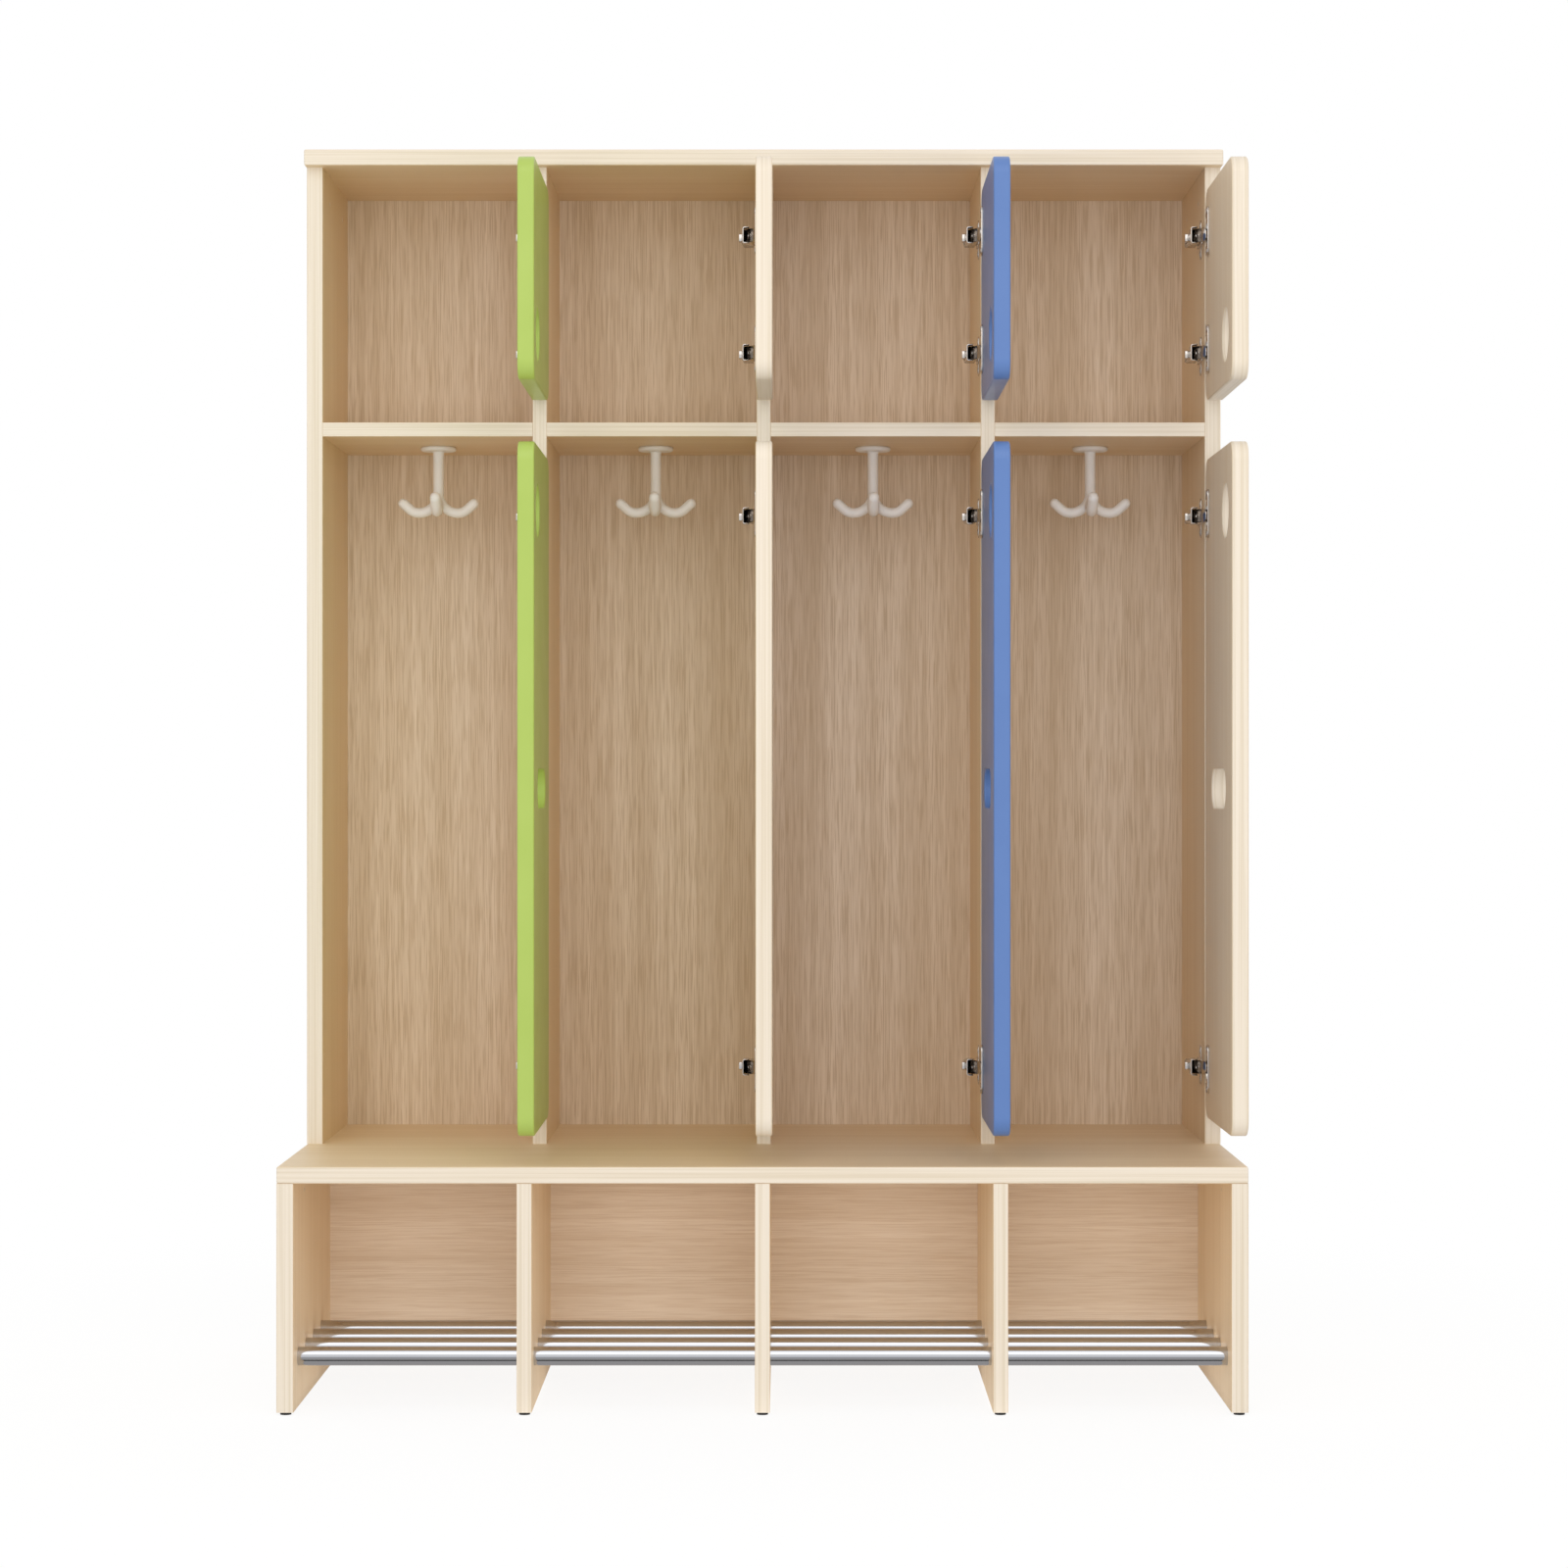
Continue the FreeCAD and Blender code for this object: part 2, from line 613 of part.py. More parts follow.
hinge_places = {}
for kind in (UPPER, LOWER):
    for bay in BAYS:
        heights = [f"({kind['bottom']} + {height})" for height in kind["hinges"]]
        hinge_places[kind["name"], bay] = [(bay_right(bay), "0", height) for height in heights]


def copies(template, places, name):
    """A copy of a template at each of several places."""
    return [copy_at(template, f"{name}_{index}", at) for index, at in enumerate(places)]


every_place = [at for places in hinge_places.values() for at in places]
keep(group("hinge_arms", copies(hinge_arm, every_place, "arm_copy")), "hinge_arms")
keep(group("hinge_plates", copies(hinge_plate, every_place, "plate_copy")), "hinge_plates")
panel_screws = keep(group("hinge_screws", copies(panel_fixings, every_place, "fixing_copy")), "hinge_screws")


# Doors: slabs with round corners, softened edges, a round finger hole and, below, a slot.


def flat_faces(shape, axis):
    """Names of the flat faces of a shape that look along an axis, either way."""
    names = []
    for index, face in enumerate(shape.Faces, start=1):
        is_flat = isinstance(face.Surface, Part.Plane)
        if is_flat and face.normalAt(0, 0).cross(axis).Length < TINY:
            names.append(f"Face{index}")
    return names


def draw_slot(sketch, middle, across, up):
    """A slot with round ends, drawn at its real size round its middle and then tied to its sizes."""
    end_radius = float(sheet.get("slot_width")) / 2
    reach = Vector(float(sheet.get("slot_length")) / 2 - end_radius, 0, 0)
    rise = Vector(0, end_radius, 0)
    left = Part.Circle(middle - reach, ALONG_Z, end_radius)
    right = Part.Circle(middle + reach, ALONG_Z, end_radius)
    turn = left.LastParameter / 4
    left_end = sketch.addGeometry(Part.ArcOfCircle(left, turn, 3 * turn))
    right_end = sketch.addGeometry(Part.ArcOfCircle(right, -turn, turn))
    upper = sketch.addGeometry(Part.LineSegment(left.Center + rise, right.Center + rise))
    lower = sketch.addGeometry(Part.LineSegment(left.Center - rise, right.Center - rise))
    joints = ((left_end, 1, upper, 1), (left_end, 2, lower, 1),
              (lower, 2, right_end, 1), (upper, 2, right_end, 2))
    for joint in joints:
        sketch.addConstraint(Sketcher.Constraint("Tangent", *joint))
    sketch.addConstraint(Sketcher.Constraint("Horizontal", upper))
    measure(sketch, Sketcher.Constraint("Radius", left_end, end_radius), "(slot_width / 2)")
    span = Sketcher.Constraint("DistanceX", left_end, 3, right_end, 3, 2 * reach.x)
    measure(sketch, span, "(slot_length - slot_width)")
    start = Sketcher.Constraint("DistanceX", -1, 1, left_end, 3, left.Center.x)
    measure(sketch, start, f"({across} - (slot_length - slot_width) / 2)")
    measure(sketch, Sketcher.Constraint("DistanceY", -1, 1, left_end, 3, left.Center.y), up)


def pocket_through(body, sketch, feature):
    """Cut a sketch through the whole body, and see that it did cut."""
    before = feature.Shape.Volume
    hole = body.newObject("PartDesign::Pocket", sketch.Name + "_pocket")
    hole.Profile = sketch
    hole.Type = "ThroughAll"
    hole.Midplane = True
    doc.recompute()
    if not hole.Shape.Volume < before:
        raise RuntimeError(f"{hole.Name} cuts nothing")
    return hole


def door(kind, bay):
    """One door, open at a right angle, with the bores for its hinge cups."""
    name = f"{kind['name']}_{bay + 1}"
    body = doc.addObject("PartDesign::Body", name + "_slab")
    outline = sketch_on(body, name + "_outline")
    draw_rectangle(outline, DOOR_WIDTH, kind["height"])
    feature = pad(body, outline, "door_thickness")
    feature = round_edges(body, feature, edges_along(feature.Shape, ALONG_Z), "door_corner_radius")
    hole = sketch_on(body, name + "_finger_hole")
    draw_circle(hole, "finger_hole_radius", f"({DOOR_WIDTH} - finger_hole_from_edge)", kind["hole"])
    feature = pocket_through(body, hole, feature)
    if kind["slot"]:
        slot = sketch_on(body, name + "_slot")
        slab = feature.Shape.BoundBox
        middle = Vector(slab.Center.x, slab.Center.y, 0)
        draw_slot(slot, middle, f"({DOOR_WIDTH} / 2)", f"({kind['height']} / 2)")
        feature = pocket_through(body, slot, feature)
    round_edges(body, feature, flat_faces(feature.Shape, ALONG_Z), "door_edge_radius")
    upright = Rotation(-ALONG_Y, ALONG_Z, -ALONG_X, "XYZ")
    body.Placement = Placement(Vector(), upright)
    outer_x = f"({bay_right(bay)} + door_open_setback + door_thickness)"
    place(body, (outer_x, OPEN_EDGE_Y, kind["bottom"]))
    places = hinge_places[kind["name"], bay]
    bores = group(name + "_bores", copies(door_cuts, places, name + "_bore"))
    keep(cut(name, body, bores), name)
    cups = group(name + "_hinge_cups", copies(hinge_cup, places, name + "_cup"))
    keep(cups, name + "_hinge_cups")
    fixings = group(name + "_hinge_fixings", copies(door_fixings, places, name + "_fixing"))
    keep(fixings, name + "_hinge_fixings")


for kind in (UPPER, LOWER):
    for bay in BAYS:
        door(kind, bay)


# Boards of the wardrobe and the bench


def drilled(label, body, tools):
    """A board with the holes that its fasteners and rods need."""
    tool = tools[0] if len(tools) == 1 else group(label + "_cuts", tools)
    return keep(cut(label, body, tool), label)


upright_size = ("divider_thickness", INSIDE_DEPTH, PANEL_HEIGHT)
for bay in BAYS[1:]:
    at = (f"({bay_left(bay)} - divider_thickness)", "0", "seat_height")
    blank = board(f"divider_{bay}_blank", upright_size, at, UPRIGHT, "board_edge_radius")
    drilled(f"divider_{bay}", blank, [dowel_group, panel_screws])

groove = block("back_groove", (f"2 * ({INSIDE_HALF} + back_groove_depth + back_groove_clearance)",
                               "back_thickness + 2 * back_groove_clearance", PANEL_HEIGHT),
               (f"(0 - {INSIDE_HALF} - back_groove_depth - back_groove_clearance)",
                f"({INSIDE_DEPTH} - back_groove_clearance)", "seat_height"))


def link_bores(name, y, z):
    """One blind bore in the inner face of each side, for the bolts that link two benches."""
    reach = f"({INSIDE_HALF} + link_bore_depth)"
    return rod(name, "link_bore_radius", f"2 * {reach}", (f"(0 - {reach})", y, z), ALONG_X)


panel_links = [link_bores(f"panel_link_{end}", y, f"({TOP_BOTTOM} - panel_link_drop)")
               for end, y in enumerate(("panel_link_front", "panel_link_rear"))]
leg_link = link_bores("leg_link", "(leg_link_inset - seat_overhang)", f"({SEAT_BOTTOM} - leg_link_drop)")

panel_size = ("side_thickness", "cabinet_depth", PANEL_HEIGHT)
for label, x in (("side_panel_left", f"(0 - {OUTSIDE_HALF})"), ("side_panel_right", INSIDE_HALF)):
    blank = board(label + "_blank", panel_size, (x, "0", "seat_height"), UPRIGHT, "board_edge_radius")
    drilled(label, blank, [dowel_group, panel_screws, groove] + panel_links)

back_size = (f"2 * ({INSIDE_HALF} + back_groove_depth)", "back_thickness", PANEL_HEIGHT)
back_at = (f"(0 - {INSIDE_HALF} - back_groove_depth)", INSIDE_DEPTH, "seat_height")
keep(block("back_panel", back_size, back_at), "back_panel")

for bay in BAYS:
    shelf_at = (bay_left(bay), "0", SHELF_BOTTOM)
    blank = board(f"shelf_{bay + 1}_blank", ("bay_width", INSIDE_DEPTH, "shelf_thickness"), shelf_at,
                  LEVEL, "board_edge_radius")
    drilled(f"shelf_{bay + 1}", blank, [dowel_group, stud_group])

top_depth = "cabinet_depth + top_front_overhang"
top_size = (f"2 * ({OUTSIDE_HALF} + top_side_overhang)", top_depth, "top_thickness")
top_at = (f"(0 - {OUTSIDE_HALF} - top_side_overhang)", "(0 - top_front_overhang)", TOP_BOTTOM)
drilled("top_board", board("top_blank", top_size, top_at, ALL_ROUND, "top_edge_radius"), [dowel_group])

seat_at = (f"(0 - {OUTSIDE_HALF})", "(0 - seat_overhang)", SEAT_BOTTOM)
seat_size = (f"2 * {OUTSIDE_HALF}", SEAT_DEPTH, "seat_thickness")
drilled("seat_board", board("seat_blank", seat_size, seat_at, ALL_ROUND, "seat_edge_radius"), [dowel_group])

middle_legs = [(f"({bay_left(bay)} - divider_thickness)", "divider_thickness", []) for bay in BAYS[1:]]
left_leg = (f"(0 - {OUTSIDE_HALF})", "side_thickness", [leg_link])
right_leg = (INSIDE_HALF, "side_thickness", [leg_link])
for index, (x, thickness, links) in enumerate([left_leg] + middle_legs + [right_leg], start=1):
    size = (thickness, SEAT_DEPTH, LEG_HEIGHT)
    at = (x, "(0 - seat_overhang)", "glide_height")
    blank = board(f"leg_{index}_blank", size, at, UPRIGHT, "board_edge_radius")
    drilled(f"leg_{index}", blank, rod_bores + [dowel_group, glide_group] + links)

for bay in BAYS:
    at = (bay_left(bay), "bench_back_setback", "glide_height")
    blank = block(f"bench_back_{bay}_blank", ("bay_width", "bench_back_thickness", LEG_HEIGHT), at)
    drilled(f"bench_back_panel_{bay + 1}", blank, [dowel_group])


# Checks and files

doc.recompute()
for item in doc.Objects:
    if "Invalid" in item.State or "Error" in item.State:
        raise RuntimeError(f"{item.Label} failed: {item.State}")
for node in nodes:
    if node.Shape.isNull() or not node.Shape.isValid():
        raise RuntimeError(f"{node.Label} has no valid shape")
    if not node.Shape.Solids:
        raise RuntimeError(f"{node.Label} has no solid")

os.makedirs("parts", exist_ok=True)
for node in nodes:
    node.Shape.exportStep(os.path.join("parts", f"{node.Label}.step"))
    print(node.Label, len(node.Shape.Solids), round(node.Shape.Volume))
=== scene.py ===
"""Dresses a nursery changing room bench and stands it in a plain white studio.

The bench stands on the floor at the origin. X runs to the right, Y from the front to the back
and Z up, all in metres. Its doors stand open at a right angle.
"""
import json
import logging
import math
from collections.abc import Callable, Iterable
from dataclasses import dataclass
from enum import Enum
from typing import Any

import bpy
from mathutils import Matrix, Vector


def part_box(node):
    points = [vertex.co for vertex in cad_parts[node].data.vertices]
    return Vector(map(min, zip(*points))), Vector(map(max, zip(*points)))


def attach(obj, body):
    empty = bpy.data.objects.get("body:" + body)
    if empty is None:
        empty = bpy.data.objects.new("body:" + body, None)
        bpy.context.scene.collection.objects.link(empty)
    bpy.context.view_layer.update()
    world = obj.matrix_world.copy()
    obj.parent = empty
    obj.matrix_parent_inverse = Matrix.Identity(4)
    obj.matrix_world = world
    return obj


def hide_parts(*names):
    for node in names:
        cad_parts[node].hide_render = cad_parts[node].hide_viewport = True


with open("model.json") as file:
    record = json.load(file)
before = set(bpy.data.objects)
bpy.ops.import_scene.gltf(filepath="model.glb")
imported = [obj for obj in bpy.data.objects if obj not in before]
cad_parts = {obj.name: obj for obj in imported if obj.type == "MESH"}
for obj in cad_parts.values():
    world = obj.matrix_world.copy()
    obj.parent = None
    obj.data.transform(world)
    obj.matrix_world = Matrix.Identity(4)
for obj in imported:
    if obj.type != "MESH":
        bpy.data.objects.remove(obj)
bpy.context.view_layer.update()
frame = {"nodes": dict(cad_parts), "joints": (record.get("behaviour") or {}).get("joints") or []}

MM = 0.001
BAYS = 4
WHITE = "#FFFFFF"
RIGHT_ANGLE = math.radians(90)
# Most values of a noise lie between these two.
NOISE_SPAN = (0.3, 0.7)
log = logging.getLogger("changing_room_bench")


class Axis(Enum):
    """A direction of the bench, by its place in a vector."""

    X = 0
    Y = 1
    Z = 2


class Glow(Enum):
    """What a lamp reaches."""

    MATT = "lights surfaces and shows in no gloss"
    ALL = "lights surfaces and shows in their gloss"


# Materials


def linear(code: str) -> tuple[float, float, float, float]:
    """Turns an sRGB hex value to a linear colour.

    Args:
        code: Six hex digits after a hash sign.

    Returns:
        Red, green, blue and an opaque alpha, from 0 to 1.
    """
    channels = [int(code[start:start + 2], 16) / 255 for start in (1, 3, 5)]
    light = [c / 12.92 if c <= 0.04045 else ((c + 0.055) / 1.055) ** 2.4 for c in channels]
    return (*light, 1.0)


def add_node(tree: bpy.types.NodeTree, kind: str, inputs: dict[Any, Any] | None = None,
             **settings: Any) -> bpy.types.Node:
    """Adds a node with its settings, and fills or links its inputs.

    Args:
        tree: The node tree that gets the node.
        kind: Blender's type name of the node.
        inputs: Values or sockets, by the name or number of the input that they go to.
        **settings: Values of the node's own properties.

    Returns:
        The new node.
    """
    node = tree.nodes.new(kind)
    for name, value in settings.items():
        setattr(node, name, value)
    for key, value in (inputs or {}).items():
        if isinstance(value, bpy.types.NodeSocket):
            tree.links.new(value, node.inputs[key])
        else:
            node.inputs[key].default_value = value
    return node


def new_material(name: str) -> tuple[bpy.types.Material, bpy.types.NodeTree]:
    """Makes an empty node material.

    Args:
        name: Name of the material.

    Returns:
        The material and its node tree.
    """
    material = bpy.data.materials.new(name)
    material.use_nodes = True
    material.node_tree.nodes.clear()
    return material, material.node_tree


def finish_with(tree: bpy.types.NodeTree, shader: bpy.types.NodeSocket) -> None:
    """Links a shader to the material's output.

    Args:
        tree: The material's node tree.
        shader: The shader's output socket.
    """
    add_node(tree, "ShaderNodeOutputMaterial", {"Surface": shader})


def scaled(axis_sizes: dict[Axis, float]) -> tuple[float, ...]:
    """Turns the size of a pattern along each axis to the scale of a Mapping node.

    Args:
        axis_sizes: Millimetres that one feature of the pattern takes along each axis.

    Returns:
        The three scales, per metre.
    """
    return tuple(1 / (axis_sizes[axis] * MM) for axis in Axis)


@dataclass(frozen=True)
class PrintLayer:
    """One layer of the wood print: streaks that fade out between two values of a noise."""

    width_mm: float
    length_mm: float
    darkest: float
    clear: float
    detail: float


@dataclass(frozen=True)
class Laminate:
    """Melamine-faced chipboard: printed wood paper under resin, with a plastic edge band.

    The eye sees short dark pores along the grain, longer soft streaks and broad bands behind
    them, a satin resin sheen, and a paler, finely lined band round every edge of the board.
    """

    name: str
    face_light: str
    face_dark: str
    band_light: str
    band_dark: str
    pore_depth: float
    streak_depth: float = 0.35
    cloud_depth: float = 0.35
    band_depth: float = 1.0
    # Printed pores are finer than a pixel of the render, so they are drawn wide enough to show.
    pores: PrintLayer = PrintLayer(1.4, 60.0, darkest=0.41, clear=0.51, detail=2.0)
    streaks: PrintLayer = PrintLayer(4.6, 320.0, darkest=0.34, clear=0.62, detail=2.0)
    clouds: PrintLayer = PrintLayer(46.0, 1100.0, darkest=0.32, clear=0.68, detail=1.0)
    band_lines: PrintLayer = PrintLayer(2.6, 480.0, darkest=0.36, clear=0.56, detail=2.0)
    noise_roughness: float = 0.55
    # The cosines between which the edge band turns to the board's face.
    edge_turn: tuple[float, float] = (0.6, 0.8)
    relief: float = 0.2
    relief_mm: float = 0.1
    roughness: float = 0.42
    print_roughness: float = 0.08
    ior: float = 1.5

    def printed(self, tree: bpy.types.NodeTree, coords: bpy.types.NodeSocket, across: Axis,
                layer: PrintLayer, depth: float) -> bpy.types.NodeSocket:
        """Prints a layer of streaks, narrow along one axis and long along the others.

        Args:
            tree: The material's node tree.
            coords: Object coordinates.
            across: The axis that the streaks lie side by side on.
            layer: Their sizes.
            depth: How much the darkest part takes away.

        Returns:
            A share from 1 less the depth to 1.
        """
        sizes = {axis: layer.width_mm if axis is across else layer.length_mm for axis in Axis}
        place = add_node(tree, "ShaderNodeMapping", {"Vector": coords, "Scale": scaled(sizes)})
        noise = add_node(tree, "ShaderNodeTexNoise",
                         {"Vector": place.outputs[0], "Scale": 1.0, "Detail": layer.detail,
                          "Roughness": self.noise_roughness})
        share = add_node(tree, "ShaderNodeMapRange",
                         {"Value": noise.outputs[0], "From Min": layer.darkest,
                          "From Max": layer.clear, "To Min": 1.0 - depth, "To Max": 1.0})
        return share.outputs[0]

    def face_share(self, tree: bpy.types.NodeTree, coords: bpy.types.NodeSocket,
                   across: Axis) -> bpy.types.NodeSocket:
        """Layers pores, streaks and broad bands.

        Args:
            tree: The material's node tree.
            coords: Object coordinates.
            across: The axis across the grain.

        Returns:
            A share that is 1 on the lightest wood and less on the darker.
        """
        share = self.printed(tree, coords, across, self.pores, self.pore_depth)
        for layer, depth in ((self.streaks, self.streak_depth), (self.clouds, self.cloud_depth)):
            more = self.printed(tree, coords, across, layer, depth)
            share = add_node(tree, "ShaderNodeMath", {0: share, 1: more},
                             operation="MULTIPLY").outputs[0]
        return share

    def material(self, thickness: Axis, grain: Axis) -> bpy.types.Material:
        """Makes the material of a board, or finds it where another board has it.

        Args:
            thickness: The axis across the board.
            grain: The axis that the printed grain follows.

        Returns:
            The material.
        """
        name = f"{self.name}_{thickness.name.lower()}{grain.name.lower()}"
        if name in bpy.data.materials:
            return bpy.data.materials[name]
        material, tree = new_material(name)
        across = next(axis for axis in Axis if axis not in (thickness, grain))
        texture = add_node(tree, "ShaderNodeTexCoord")
        coords = texture.outputs["Object"]
        share = self.face_share(tree, coords, across)
        face = add_node(tree, "ShaderNodeMix",
                        {"Factor": share, "A": linear(self.face_dark),
                         "B": linear(self.face_light)}, data_type="RGBA")
        band_share = self.printed(tree, coords, thickness, self.band_lines, self.band_depth)
        band = add_node(tree, "ShaderNodeMix",
                        {"Factor": band_share, "A": linear(self.band_dark),
                         "B": linear(self.band_light)}, data_type="RGBA")
        normal = add_node(tree, "ShaderNodeSeparateXYZ", {0: texture.outputs["Normal"]})
        squareness = add_node(tree, "ShaderNodeMath", {0: normal.outputs[thickness.value]},
                              operation="ABSOLUTE")
        on_edge, on_board = self.edge_turn
        on_face = add_node(tree, "ShaderNodeMapRange",
                           {"Value": squareness.outputs[0], "From Min": on_edge,
                            "From Max": on_board})
        color = add_node(tree, "ShaderNodeMix",
                         {"Factor": on_face.outputs[0], "A": band.outputs["Result"],
                          "B": face.outputs["Result"]}, data_type="RGBA")
        pressed = add_node(tree, "ShaderNodeBump",
                           {"Height": share, "Strength": self.relief,
                            "Distance": self.relief_mm * MM})
        sheen = add_node(tree, "ShaderNodeMapRange",
                         {"Value": share, "To Min": self.roughness + self.print_roughness,
                          "To Max": self.roughness})
        shader = add_node(tree, "ShaderNodeBsdfPrincipled",
                          {"Base Color": color.outputs["Result"], "Roughness": sheen.outputs[0],
                           "Normal": pressed.outputs[0], "IOR": self.ior})
        finish_with(tree, shader.outputs[0])
        return material


@dataclass(frozen=True)
class Coating:
    """A board with a sprayed colour coat: even colour, a satin gloss and a faint orange peel."""

    name: str
    color: str
    shade: str
    roughness: float = 0.34
    roughness_spread: float = 0.05
    mottle_mm: float = 60.0
    mottle_detail: float = 3.0
    peel_mm: float = 2.5
    peel_detail: float = 1.0
    peel_strength: float = 0.12
    peel_height_mm: float = 0.05
    ior: float = 1.5

    def material(self) -> bpy.types.Material:
        """Makes the material of a coated door.

        Returns:
            The material.
        """
        material, tree = new_material(self.name)
        coords = add_node(tree, "ShaderNodeTexCoord").outputs["Object"]
        mottle = add_node(tree, "ShaderNodeTexNoise",
                          {"Vector": coords, "Scale": 1 / (self.mottle_mm * MM),
                           "Detail": self.mottle_detail})
        low, high = NOISE_SPAN
        share = add_node(tree, "ShaderNodeMapRange",
                         {"Value": mottle.outputs[0], "From Min": low, "From Max": high})
        color = add_node(tree, "ShaderNodeMix",
                         {"Factor": share.outputs[0], "A": linear(self.shade),
                          "B": linear(self.color)}, data_type="RGBA")
        peel = add_node(tree, "ShaderNodeTexNoise",
                        {"Vector": coords, "Scale": 1 / (self.peel_mm * MM),
                         "Detail": self.peel_detail})
        bump = add_node(tree, "ShaderNodeBump",
                        {"Height": peel.outputs[0], "Strength": self.peel_strength,
                         "Distance": self.peel_height_mm * MM})
        rough = add_node(tree, "ShaderNodeMapRange",
                         {"Value": mottle.outputs[0],
                          "To Min": self.roughness + self.roughness_spread,
                          "To Max": self.roughness - self.roughness_spread})
        shader = add_node(tree, "ShaderNodeBsdfPrincipled",
                          {"Base Color": color.outputs["Result"], "Roughness": rough.outputs[0],
                           "Normal": bump.outputs[0], "IOR": self.ior})
        finish_with(tree, shader.outputs[0])
        return material


@dataclass(frozen=True)
class Plating:
    """Plated steel: a mirror or satin metal with faint smears along its drawing direction."""

    name: str
    color: str
    roughness: float
    smear_mm: float
    smear_depth: float
    smear_stretch: float = 8.0
    smear_detail: float = 4.0
    grain: Axis = Axis.X

    def material(self) -> bpy.types.Material:
        """Makes the material of a plated piece, or finds it where another piece has it.

        Returns:
            The material.
        """
        if self.name in bpy.data.materials:
            return bpy.data.materials[self.name]
        material, tree = new_material(self.name)
        coords = add_node(tree, "ShaderNodeTexCoord").outputs["Object"]
        sizes = {axis: self.smear_mm for axis in Axis}
        sizes[self.grain] *= self.smear_stretch
        place = add_node(tree, "ShaderNodeMapping", {"Vector": coords, "Scale": scaled(sizes)})
        smear = add_node(tree, "ShaderNodeTexNoise",
                         {"Vector": place.outputs[0], "Scale": 1.0, "Detail": self.smear_detail})
        low, high = NOISE_SPAN
        rough = add_node(tree, "ShaderNodeMapRange",
                         {"Value": smear.outputs[0], "From Min": low, "From Max": high,
                          "To Min": self.roughness, "To Max": self.roughness + self.smear_depth})
        shader = add_node(tree, "ShaderNodeBsdfPrincipled",
                          {"Base Color": linear(self.color), "Metallic": 1.0,
                           "Roughness": rough.outputs[0]})
        finish_with(tree, shader.outputs[0])
        return material


@dataclass(frozen=True)
class Moulding:
    """Injection-moulded plastic: an even colour with a fine spark-eroded grain."""

    name: str
    color: str
    shade: str
    roughness: float
    cloud_mm: float = 20.0
    # The real grain is about a tenth of this and too fine to show, so it is drawn coarser.
    grain_mm: float = 0.9
    detail: float = 2.0
    grain_strength: float = 0.15
    grain_height_mm: float = 0.04
    ior: float = 1.53

    def material(self) -> bpy.types.Material:
        """Makes the material of a moulded piece.

        Returns:
            The material.
        """
        material, tree = new_material(self.name)
        coords = add_node(tree, "ShaderNodeTexCoord").outputs["Object"]
        cloud = add_node(tree, "ShaderNodeTexNoise",
                         {"Vector": coords, "Scale": 1 / (self.cloud_mm * MM),
                          "Detail": self.detail})
        color = add_node(tree, "ShaderNodeMix",
                         {"Factor": cloud.outputs[0], "A": linear(self.shade),
                          "B": linear(self.color)}, data_type="RGBA")
        grain = add_node(tree, "ShaderNodeTexNoise",
                         {"Vector": coords, "Scale": 1 / (self.grain_mm * MM),
                          "Detail": self.detail})
        bump = add_node(tree, "ShaderNodeBump",
                        {"Height": grain.outputs[0], "Strength": self.grain_strength,
                         "Distance": self.grain_height_mm * MM})
        shader = add_node(tree, "ShaderNodeBsdfPrincipled",
                          {"Base Color": color.outputs["Result"], "Roughness": self.roughness,
                           "Normal": bump.outputs[0], "IOR": self.ior})
        finish_with(tree, shader.outputs[0])
        return material


# Making pieces

LEFT = Vector((-1, 0, 0))
RIGHT = Vector((1, 0, 0))
FRONT = Vector((0, -1, 0))
REAR = Vector((0, 1, 0))
UP = Vector((0, 0, 1))

# The cosine above which a face looks towards a side, or an edge runs along an axis.
ALIGNED = 0.9
# Degrees between two faces up to which their edge is dissolved or shaded smooth, and above
# which it is broken.
FLAT_ANGLE = 2.0
SMOOTH_ANGLE = 38.0
SHARP_ANGLE = 35.0
BROKEN_EDGE_STEPS = 2
ROUND_SIDES = 24
MERGE_MM = 0.004

# Says of the middle of a face or edge, in millimetres, and of its normal or run whether it is picked.
Picker = Callable[[Vector, Vector], bool]


def facing(side: Vector, least: float = ALIGNED) -> Picker:
    """Picks the faces that look towards a side."""
    return lambda at, normal: normal.dot(side) > least


def running(axis: Axis) -> Picker:
    """Picks the edges that run along an axis."""
    return lambda at, run: abs(run[axis.value]) > ALIGNED


